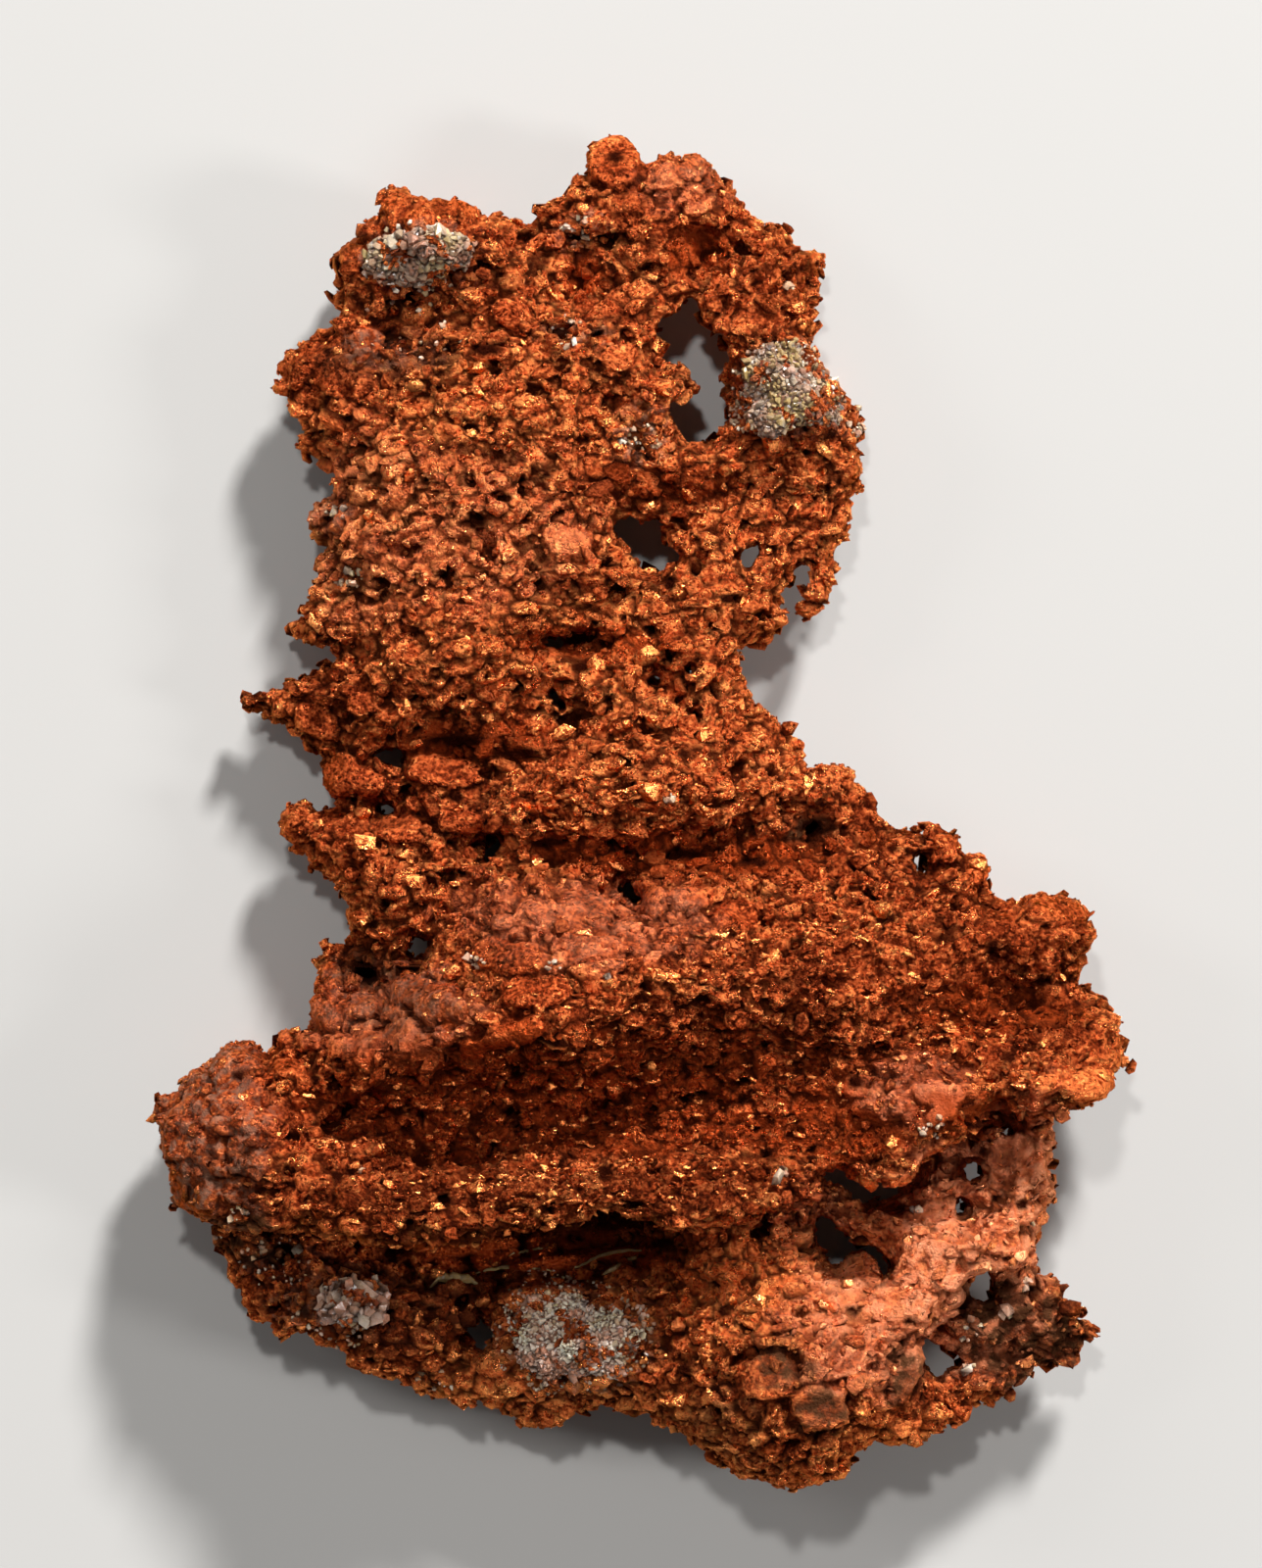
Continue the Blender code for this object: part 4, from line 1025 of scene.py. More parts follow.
@dataclass(frozen=True)
class CopperFinish:
    """Native copper: bright metal on crowns, brown oxides over it that partly stand in for shade, red-orange
    in hollows, and near-black painted shade in creases, pits and under grains.

    Its colours come first, then the sizes of the noises in metres, then the roughness of dull and
    of bright metal and how metallic the most matte places still are.
    """

    crown: Colour = (1.00, 0.34, 0.09)
    bright: Colour = (0.80, 0.20, 0.053)
    middle: Colour = (0.54, 0.105, 0.026)
    brown: Colour = (0.27, 0.037, 0.009)
    umber: Colour = (0.08, 0.011, 0.003)
    rust: Colour = (0.44, 0.062, 0.011)
    tarnish: Colour = (0.110, 0.042, 0.017)
    bloom: Colour = (0.82, 0.320, 0.160)
    ash: Colour = (0.31, 0.175, 0.115)
    # Near-black colour: painted shade in creases, pits, cracks and under grains, and a darker tone on some
    # grains.
    hollow: Colour = (0.030, 0.005, 0.002)
    edge: Colour = (1.00, 0.62, 0.42)
    drift_size: float = 2.2 * MM
    fleck_size: float = 0.34 * MM
    glitter_size: float = 0.46 * MM
    tarnish_size: float = 1.3 * MM
    film_size: float = 0.8 * MM
    grit_size: float = 0.28 * MM
    grit_depth: float = 0.45 * MM
    dull_rough: float = 0.27
    bright_rough: float = 0.08
    least_metallic: float = 0.88

    def material(self) -> bpy.types.Material:
        """Build the finish.

        Returns:
            The material.
        """
        desk = Desk("native_copper")
        desk.join(self.edge, desk.shader.inputs["Specular Tint"])
        fleck = desk.band(desk.grain(self.fleck_size, 4.0, 0.65), 0.34, 0.66)
        lit = desk.band(desk.mark("shine"), 0.0, 0.4, 0.25, 1.0)
        glitter = desk.times(desk.band(desk.grain(self.glitter_size, 2.0), 0.55, 0.61), lit)
        blotches = desk.band(desk.grain(self.tarnish_size), 0.40, 0.58, 0.35, 1.0)
        dull = desk.times(desk.mark("tarnish"), blotches)
        film = desk.times(desk.mark("ashen"), desk.band(desk.grain(self.film_size, 5.0), 0.44, 0.60))
        matte = desk.maths("ADD", dull, film)
        self.colour(desk, fleck, glitter, dull, film)
        desk.join(desk.band(matte, 0.0, 1.0, 1.0, self.least_metallic), desk.shader.inputs["Metallic"])
        worn = desk.band(desk.mark("shine"), 0.0, 0.8, self.dull_rough, self.bright_rough)
        rough = desk.laid(desk.mark("pale"), 0.2, desk.laid(fleck, 0.34, worn))
        rough = desk.laid(desk.mark("hollow"), 0.3, desk.laid(matte, 0.3, rough))
        rough = desk.times(rough, desk.band(glitter, 0.0, 1.0, 1.0, 0.55))
        desk.join(rough, desk.shader.inputs["Roughness"])
        grit = desk.laid(desk.grain(self.grit_size, 4.0, 0.66), 0.7, desk.times(fleck, 0.3))
        grit = desk.times(grit, desk.band(desk.mark("smooth"), 0.0, 1.0, 1.0, 0.25))
        desk.bump(grit, self.grit_depth, 1.0)
        return desk.material

    def colour(self, desk: Desk, fleck: Socket, glitter: Socket, dull: Socket, film: Socket) -> None:
        """Mix the colour.

        Args:
            desk: The material being built.
            fleck: Where the small bright flecks are.
            glitter: Where single facets glitter.
            dull: Where the tarnish lies.
            film: Where the grey-brown film lies.
        """
        drift = desk.band(desk.grain(self.drift_size, 4.0), 0.3, 0.7)
        mottle = desk.laid(drift, 0.20, desk.times(fleck, 0.42))
        # Painted highlight: the glitter specks are also lighter in colour.
        tone = desk.laid(glitter, 0.30, desk.laid(desk.mark("tint"), 0.62, mottle))
        tones = (self.umber, self.brown, self.middle, self.bright, self.crown)
        colour = desk.ramp(tone, tuple(zip((0.10, 0.30, 0.48, 0.68, 0.95), tones)))
        # The near-black colour laid last is painted shade.
        for share, over in (
            (desk.mark("pale"), self.bloom), (desk.mark("rust"), self.rust), (dull, self.tarnish),
            (film, self.ash), (desk.mark("hollow"), self.hollow),
        ):
            colour = desk.over(share, colour, over)
        desk.join(colour, desk.shader.inputs["Base Color"])


@dataclass(frozen=True)
class CrystalFinish:
    """Pale crust: clear to milky grains with grey and cream between, stained by the copper, with near-black
    painted shade between and under the crystals.
    """

    clear: Colour = (0.90, 0.85, 0.74)
    milk: Colour = (0.50, 0.41, 0.29)
    grey: Colour = (0.16, 0.12, 0.08)
    cream: Colour = (0.50, 0.35, 0.13)
    stain: Colour = (0.44, 0.20, 0.12)
    # Near-black colour: painted shade between and under crystals, and a darker tone on some crystals.
    hollow: Colour = (0.05, 0.025, 0.015)
    depth: Colour = (1.0, 0.7, 0.5)

    def material(self) -> bpy.types.Material:
        """Build the finish.

        Returns:
            The material.
        """
        desk = Desk("pale_mineral")
        tone = desk.laid(desk.mark("tint"), 0.7, desk.times(desk.grain(0.9 * MM), 0.35))
        colour = desk.ramp(tone, ((0.15, self.grey), (0.55, self.milk), (0.95, self.clear)))
        for name, over in (("creamy", self.cream), ("stained", self.stain), ("hollow", self.hollow)):
            colour = desk.over(desk.mark(name), colour, over)
        rough = desk.band(desk.grain(0.3 * MM), 0.3, 0.7, 0.08, 0.5)
        for key, source in (
            ("Base Color", colour), ("Roughness", rough), ("IOR", 1.6), ("Subsurface Weight", 0.4),
            ("Subsurface Scale", 0.4 * MM),
        ):
            desk.join(source, desk.shader.inputs[key])
        desk.shader.inputs["Subsurface Radius"].default_value = self.depth
        desk.bump(desk.grain(0.20 * MM, 3.0, 0.6), 0.06 * MM, 0.6)
        return desk.material


# ---------------------------------------------------------------- the copper
@dataclass(frozen=True)
class Masses:
    """The masses that the copper is split into, at places of its surface.

    Attributes:
        height: From 0 in a crack to 1 on a mass.
        smooth: How smooth each mass is, from 0 to 1.
        level: Each mass's own level, from -1 to 1.
    """

    height: np.ndarray
    smooth: np.ndarray
    level: np.ndarray


@dataclass(frozen=True)
class Texture:
    """The copper's relief: masses split by cracks, nubs and beads on them, pits, and plates.

    Cells are sizes in millimetres, rises and depths are in metres, and the turns give each mass and
    plate its own steady values.
    """

    mass_cell: Cell = (2.3, 1.45, 2.0)
    mass_rise: float = 1.05 * MM
    mass_warp: float = 0.5 * MM
    ledge_cell: Cell = (5.5, 1.6, 3.0)
    ledge_rise: float = 0.75 * MM
    rim_rise: float = 0.20 * MM
    nub_cell: Cell = (1.05, 0.72, 0.9)
    nub_rise: float = 0.38 * MM
    bead_cell: Cell = (0.56, 0.44, 0.50)
    bead_rise: float = 0.12 * MM
    pit_cell: Cell = (1.6, 1.05, 1.4)
    pit_depth: float = 1.1 * MM
    plate_cell: Cell = (3.0, 1.9, 2.6)
    plate_rise: float = 0.32 * MM
    plate_crack: float = 0.60 * MM
    level_rise: float = 0.14 * MM
    crease_depth: float = 0.22 * MM
    gap_depth: float = 0.40 * MM
    smooth_turns: Cell = (71.3, 39.7, 57.9)
    level_turns: Cell = (43.1, -67.7, 29.3)
    height_turns: Cell = (91.7, 47.3, 0.0)
    lean_turns: Cell = (31.0, 0.0, 0.0)
    tone_turns: Cell = (57.1, -83.9, 0.0)

    def masses(self, points: np.ndarray) -> Masses:
        """Read the masses.

        Args:
            points: Places in metres.

        Returns:
            The masses there.
        """
        warp = np.stack([swell(points, (2.0, 2.0, 2.0), shift) for shift in (31.0, 37.0)], axis=1)
        moved = points.copy()
        moved[:, :2] += self.mass_warp * warp
        height, smooth, level = np.empty(len(points)), np.empty(len(points)), np.empty(len(points))
        for index, place in enumerate(moved / (np.array(self.mass_cell) * MM) + 2.7):
            gaps, seeds = noise.voronoi(Vector(place))
            height[index] = nub_height(gaps)
            smooth[index] = seed_value(seeds[0], self.smooth_turns)
            level[index] = seed_value(seeds[0], self.level_turns)
        return Masses(height, ease(smooth, -0.1, 0.2), level)

    def pits(self, points: np.ndarray) -> np.ndarray:
        """Where the small black pits are, from 0 to 1."""
        return ease(swell(points, self.pit_cell, 19.0), 0.36, 0.46)

    def plates(self, points: np.ndarray, plate: np.ndarray) -> tuple[np.ndarray, np.ndarray, np.ndarray]:
        """Flat plates of uneven height with narrow cracks between them.

        Args:
            points: Places in metres.
            plate: How much each place is plated, from 0 to 1.

        Returns:
            How far each place rises in metres, where the cracks are from 0 to 1, and each plate's own
            tone from -1 to 1.
        """
        rise, crack, tone = np.zeros(len(points)), np.zeros(len(points)), np.zeros(len(points))
        mine = np.flatnonzero(plate > 0.02)
        bends = [swell(points[mine], (0.9, 0.9, 0.9), shift) for shift in (3.0, 5.0, 9.0)]
        warp = 0.22 * np.stack(bends, axis=1)
        for index, place in zip(mine, points[mine] / (np.array(self.plate_cell) * MM) + warp):
            gaps, seeds = noise.voronoi(Vector(place))
            seed = seeds[0]
            lean = (place[1] - seed.y) * 0.9 + (place[0] - seed.x) * 0.5 * seed_value(seed, self.lean_turns)
            rise[index] = self.plate_rise * (0.5 * seed_value(seed, self.height_turns) + lean)
            crack[index] = gaps[1] - gaps[0]
            tone[index] = seed_value(seed, self.tone_turns)
        crack[mine] = 1.0 - ease(crack[mine], 0.03, 0.16)
        crack *= plate * ease(swell(points, (2.0, 1.4, 2.0), 13.0), -0.35, 0.1)
        return plate * rise - self.plate_crack * crack, crack, plate * tone


@dataclass(frozen=True)
class SkinTone:
    """How bright the skin's metal is, from 0 to 1: a base, and what each feature adds or takes."""

    base: float = 0.27
    crown: float = 0.36
    clean: float = 0.36
    plate: float = 0.32
    level: float = 0.09
    flat: float = 0.19
    smooth: float = 0.05
    lobed: float = 0.05
    # Brown oxides, partly painted shade: how much they darken the metal.
    oxide: float = 0.50
    shade: float = 0.50


@dataclass
class CopperSkin:
    """The copper's whole surface, made fine from its solid.

    Attributes:
        texture: Its relief.
        tone: Its brightness.
        base_voxel: Size of the voxels that the masses are raised on, in metres.
        base_rounds: How often the first skin is smoothed.
        fine_voxel: Size of the voxels that the nubs are raised on, in metres.
        kept_share: Share of the faces that the finished skin keeps.
        waist: Height on the figure where it parts in two, in metres.
        piece: The skin, once it is built.
    """

    texture: Texture = Texture()
    tone: SkinTone = SkinTone()
    base_voxel: float = 0.50 * MM
    base_rounds: int = 4
    fine_voxel: float = 0.26 * MM
    kept_share: float = 0.56
    waist: float = -11.0 * MM
    piece: bpy.types.Object | None = None

    def build(self, chance: Chance) -> None:
        """Make the skin.

        Args:
            chance: The seeded source of chance.
        """
        self.piece = solid_copy(COPPER_NODE, "copper_skin")
        remesh(self.piece, self.base_voxel, self.base_rounds)
        self.raise_masses()
        cut_openings(self.piece, chance)
        remesh(self.piece, self.fine_voxel)
        self.raise_nubs()
        self.rest_flat()
        self.lighten()
        self.rest_flat()
        self.mark()

    def halves(self) -> list[bpy.types.Object]:
        """Part the skin at its waist into two closed pieces.

        Returns:
            The upper and the lower piece.
        """
        pieces = []
        for name, sign in (("copper_skin_upper", 1.0), ("copper_skin_lower", -1.0)):
            work = bmesh.new()
            work.from_mesh(self.piece.data)
            away = [face for face in work.faces if sign * (face.calc_center_median().y - self.waist) < 0.0]
            bmesh.ops.delete(work, geom=away, context="FACES")
            rim = [edge for edge in work.edges if edge.is_boundary]
            for edge in rim:
                edge.smooth = False
            caps = bmesh.ops.holes_fill(work, edges=rim, sides=0)["faces"]
            bmesh.ops.triangulate(work, faces=caps)
            mesh = finished(work, name)
            mesh.validate(clean_customdata=False)
            pieces.append(new_piece(name, mesh))
        bpy.data.objects.remove(self.piece, do_unlink=True)
        return pieces

    def raise_masses(self) -> None:
        """Raise masses and broken ledges, a few millimetres across, that notch the rim."""
        places = Places.of(self.piece.data)
        front = FrontMap(places)
        lobes = front.lobes()
        calm = np.maximum(0.75 * front.of(Area.PLATE), 0.85 * lobes.inside)
        rim = 1.0 - ease(np.abs(places.normals[:, 2]), 0.2, 0.75)
        masses = self.texture.masses(places.points)
        rise = self.texture.mass_rise * (masses.height - 0.62)
        rise = rise + self.texture.level_rise * masses.level * ease(masses.height, 0.1, 0.4)
        rise = rise * (1.0 - calm) * (1.0 - 0.2 * rim) + lobes.rise
        ledges = swell(places.points, self.texture.ledge_cell, 11.0)
        rise += self.texture.ledge_rise * ledges + self.texture.rim_rise * rim
        write_points(self.piece.data, places.raised(rise))

    def raise_nubs(self) -> None:
        """Raise nubs and beads, and sink pits, creases and the gaps round the lobes."""
        texture = self.texture
        places = Places.of(self.piece.data)
        front = FrontMap(places)
        plate = front.of(Area.PLATE)
        lobes = front.lobes()
        masses = texture.masses(places.points)
        flat = np.maximum(plate, lobes.inside)
        calm = np.maximum(0.8 * flat, 0.6 * masses.smooth)
        rise = texture.nub_rise * (nubs(places.points, texture.nub_cell, 5.1) - 0.6) * (1.0 - calm)
        rise += texture.bead_rise * (nubs(places.points, texture.bead_cell, 15.1) - 0.5) * (1.0 - 0.5 * calm)
        rise -= texture.pit_depth * texture.pits(places.points) * (1.0 - 0.92 * flat)
        rise -= texture.crease_depth * (1.0 - ease(masses.height, 0.03, 0.22)) * (1.0 - 0.85 * flat)
        rise -= texture.gap_depth * lobes.gap
        rise += texture.plates(places.points, plate * (1.0 - lobes.inside))[0]
        write_points(self.piece.data, places.raised(rise))

    def lighten(self) -> None:
        """Let the mesh have fewer faces, first of all where the skin is smooth."""
        lighter = self.piece.modifiers.new("Fewer faces", "DECIMATE")
        lighter.ratio = self.kept_share
        settle(self.piece)

    def rest_flat(self) -> None:
        """Keep the skin above the surface that the nugget lies on."""
        points = read(self.piece.data.vertices, "co", 3)
        points[:, 2] = np.maximum(points[:, 2], 0.0)
        write_points(self.piece.data, points)

    def mark(self) -> None:
        """Store what the finish reads."""
        mesh = self.piece.data
        places = Places.of(mesh)
        front = FrontMap(places)
        plate = front.of(Area.PLATE)
        edges = read(mesh.edges, "vertices", 2, np.int64)
        hill = ((places.points - evened(places.points, edges, 8)) * places.normals).sum(axis=1)
        crown = ease(hill, 0.0, 0.14 * MM)
        dip = ease(-hill, 0.03 * MM, 0.17 * MM)
        lobes = front.lobes()
        flat = np.maximum(plate, lobes.inside)
        masses = self.texture.masses(places.points)
        gap = 1.0 - ease(masses.height, 0.05, 0.38)
        pits = self.texture.pits(places.points) * (1.0 - 0.92 * flat)
        _, crack, plate_tone = self.texture.plates(places.points, plate * (1.0 - lobes.inside))
        oxide = front.of(Area.OXIDE)
        tone = self.tone
        tint = tone.base + tone.crown * crown * (1.0 - 0.4 * flat)
        tint = tint - tone.flat * flat - tone.smooth * masses.smooth
        tint = tint - tone.lobed * lobes.inside + tone.clean * front.of(Area.CLEAN)
        tint = tint - tone.oxide * oxide * (1.0 - 0.4 * crown)
        tint += tone.plate * plate_tone + tone.level * masses.level * (1.0 - flat) - tone.shade * lobes.shade
        # Painted shade: creases, cracks between masses, pits and their rims, plate cracks, the gaps round the
        # lobes and the listed deep patches are darkened; the share from brown oxides is partly painted shade
        # too.
        hollow = np.maximum.reduce([
            0.9 * dip * (1.0 - 0.5 * flat), 0.9 * gap * (1.0 - flat), pits,
            front.near_openings(3.0, holes=False),
            crack, 0.95 * lobes.gap, 0.44 * oxide * (1.0 - crown), 0.9 * front.of(Area.DEEP),
        ])
        pale = front.of(Area.PALE) * (0.35 + 0.5 * crown + 0.25 * plate_tone) * (1.0 - lobes.shade)
        set_marks(mesh, {
            "tint": np.clip(tint, 0.0, 1.0),
            "shine": 0.6 * crown * (1.0 - 0.6 * flat),
            "smooth": np.maximum(0.55 * flat, 0.4 * masses.smooth),
            "pale": np.clip(pale, 0.0, 1.0),
            "rust": front.of(Area.RUST) * 0.9,
            "tarnish": front.of(Area.TARNISH),
            "ashen": front.of(Area.ASHEN),
            "hollow": np.clip(hollow, 0.0, 1.0),
        })
        mesh.shade_smooth()


@dataclass(frozen=True)
class GrainKind:
    """One size of grain in the coat.

    Attributes:
        name: What the grains are called.
        candidates: How many places are tried.
        gap: The usual distance between two, in metres.
        size: The usual length, width and height, in metres.
        cut: The shapes of the grains.
        lift: How far the middle sits above the skin, as a share of the grain's height.
        shine: What the grains' shine is drawn up to.
        strips: How many pieces the grains are joined in.
        only_on: The area that they are kept to, if any.
        twist: How far the long axes turn from side to side, in radians.
        bowed: How far the bright ones lean the way that all bright facets face.
        glinting: What is added to the share that glints.
    """

    name: str
    candidates: int
    gap: float
    size: Cell
    cut: Cut
    lift: float
    shine: float
    strips: int
    only_on: Area | None = None
    twist: float = 0.6
    bowed: float = 0.25
    glinting: float = 0.0


NODULE_SIZE = (0.98 * MM, 0.70 * MM, 0.58 * MM)
CRUMB_SIZE = (0.40 * MM, 0.32 * MM, 0.29 * MM)
FLAKE_SIZE = (0.80 * MM, 0.28 * MM, 0.28 * MM)
GRAIN_KINDS = (
    GrainKind("nodules", 50000, 1.00 * MM, NODULE_SIZE, Cut(12, 0.45, 0.16, 24), 0.18, 0.60, 2),
    GrainKind("crumbs", 80000, 0.56 * MM, CRUMB_SIZE, Cut(9, 0.45, 0.18, 24), 0.30, 0.90, 3),
    GrainKind("flakes", 110000, 0.48 * MM, FLAKE_SIZE, Cut(9, 0.30, 0.18, 24), 0.32, 1.60, 1,
              Area.FLAKY, twist=0.2, bowed=0.6, glinting=0.30),
)


@dataclass
class GrainCoat:
    """Small grains of copper over the whole skin."""

    skin: CopperSkin
    chance: Chance

    def lay(self, kind: GrainKind) -> list[bpy.types.Object]:
        """Scatter one kind of grain, and join it a strip of the figure at a time.

        Args:
            kind: Which grains.

        Returns:
            The pieces.
        """
        places = scatter_on(self.skin.piece.data, kind.candidates, self.chance)
        places = places.kept(places.points[:, 2] > 0.6 * kind.size[2])
        front = FrontMap(places)
        wanted = self.wanted(kind, places, front)
        places, front = places.kept(wanted), front.kept(wanted)
        growth = self.growth(places, front)
        kept = spaced(places, kind.gap * growth)
        places, front, growth = places.kept(kept), front.kept(kept), growth[kept]
        flat = np.maximum(front.of(Area.PLATE), 0.4 * ease(-places.normals[:, 2], 0.0, 0.5))
        stretch = self.chance.uniform(0.72, 1.3, (len(places), 3))
        sizes = np.array(kind.size) * stretch * growth[:, None]
        sizes[:, 2] *= 1.0 - 0.5 * flat
        marks = self.marks(kind, front)
        axes = frames_for(places, 0.35, kind.twist, self.chance, kind.bowed * marks["smooth"])
        shapes = kind.cut.shapes(self.chance)
        lifted = Places(places.points + places.normals * (kind.lift * sizes[:, 2:3]), places.normals)
        grains = Grains(lifted, sizes, axes, marks)
        order = np.argsort(-places.points[:, 1], kind="stable")
        pieces = []
        for number, strip in enumerate(np.array_split(order, kind.strips), start=1):
            name = f"copper_{kind.name}_{number}"
            pieces.append(new_piece(name, grains.kept(strip).mesh(name, shapes, self.chance)))
        return pieces

    def wanted(self, kind: GrainKind, places: Places, front: FrontMap) -> np.ndarray:
        """Which of the candidates may stay.

        Args:
            kind: Which grains.
            places: Where they would sit.
            front: The front there.

        Returns:
            A mask of the places: off the openings, pits and cracks, fewer on plates, lobes and the rim.
        """
        plate = front.of(Area.PLATE)
        masses = self.skin.texture.masses(places.points)
        gap = 1.0 - ease(masses.height, 0.05, 0.35)
        lobes = front.lobes()
        rim = 1.0 - ease(np.abs(places.normals[:, 2]), 0.1, 0.5)
        wanted = front.near_openings(4.5) < 0.4
        if kind.only_on is not None:
            wanted &= self.chance.random(len(places)) < 0.75 * front.of(kind.only_on)
        wanted &= self.skin.texture.pits(places.points) < 0.25
        smooth = np.maximum.reduce([0.85 * plate, 0.92 * lobes.inside, 0.6 * masses.smooth, lobes.gap])
        for unlikely in (0.85 * gap * (1.0 - plate), smooth, 0.7 * rim):
            wanted &= self.chance.random(len(places)) > unlikely
        return wanted

    def growth(self, places: Places, front: FrontMap) -> np.ndarray:
        """How much larger each grain is than the usual one.

        Args:
            places: Where the grains sit.
            front: The front there.

        Returns:
            One value a grain.
        """
        back = ease(-places.normals[:, 2], 0.0, 0.5)
        spread = np.exp(np.clip(self.chance.normal(0.0, 0.34, len(places)), -0.7, 0.75))
        rim = 1.0 - ease(np.abs(places.normals[:, 2]), 0.2, 0.6)
        usual = 1.0 + 0.35 * back - 0.22 * front.of(Area.FINE) - 0.30 * rim
        return np.minimum(spread * usual, 1.75 - 1.05 * rim)

    def marks(self, kind: GrainKind, front: FrontMap) -> dict[str, np.ndarray]:
        """What the finish reads on each grain.

        Args:
            kind: Which grains.
            front: The front where they sit.

        Returns:
            One array of values for each name.
        """
        chance, count = self.chance, len(front.points)
        gilt, oxide = front.of(Area.GILT), front.of(Area.OXIDE)
        row = ease(swell(front.points, (3.2, 0.8, 1.6), 27.0), 0.05, 0.3)
        glint = chance.random(count) > 0.92 - 0.22 * gilt - 0.25 * row - kind.glinting
        drift = swell(front.points, (6.0, 4.0, 6.0), 1.7)
        # Painted highlight: glinting grains and grains on gilt edges are lighter in colour.
        tint = 0.19 + 0.40 * chance.random(count) ** 1.4 + 0.16 * drift + 0.12 * gilt + 0.36 * glint
        # Brown oxides, partly painted shade, darken the grains, glinting ones much less.
        tint += 0.26 * front.of(Area.CLEAN) - 0.52 * oxide * (1.0 - 0.9 * glint)
        return {
            "tint": np.clip(tint, 0.0, 1.0),
            "shine": np.clip(kind.shine * chance.random(count) + 0.7 * glint, 0.0, 1.0),
            "smooth": 0.9 * glint,
            "pale": front.of(Area.PALE) * chance.uniform(0.2, 0.9, count),
            "rust": front.of(Area.RUST) * chance.uniform(0.3, 0.95, count) * (1.0 - 0.7 * glint),
            "tarnish": front.of(Area.TARNISH) * chance.uniform(0.3, 1.0, count),
            "ashen": front.of(Area.ASHEN) * chance.uniform(0.0, 1.0, count),
            "hollow": np.clip(0.5 * chance.random(count) - 0.35 + 0.35 * oxide * (1.0 - glint), 0.0, 1.0),
        }


# ---------------------------------------------------------------- the crusts
# Copper grains sit where copper_through is above the first, and crystals where it is below the second.
COPPER_FROM = 0.14
CRYSTALS_TO = 0.20
CRYSTAL_CUT = Cut(10, 0.45, 0.12)
SPECK_CUT = Cut(10, 0.50, 0.10)
CRUST_COPPER_CUT = Cut(13, 0.45, 0.16)


def copper_through(points: np.ndarray) -> np.ndarray:
    """Noise that says where copper breaks through the crusts."""
    return swell(points, (2.0, 1.3, 2.0), 23.0)


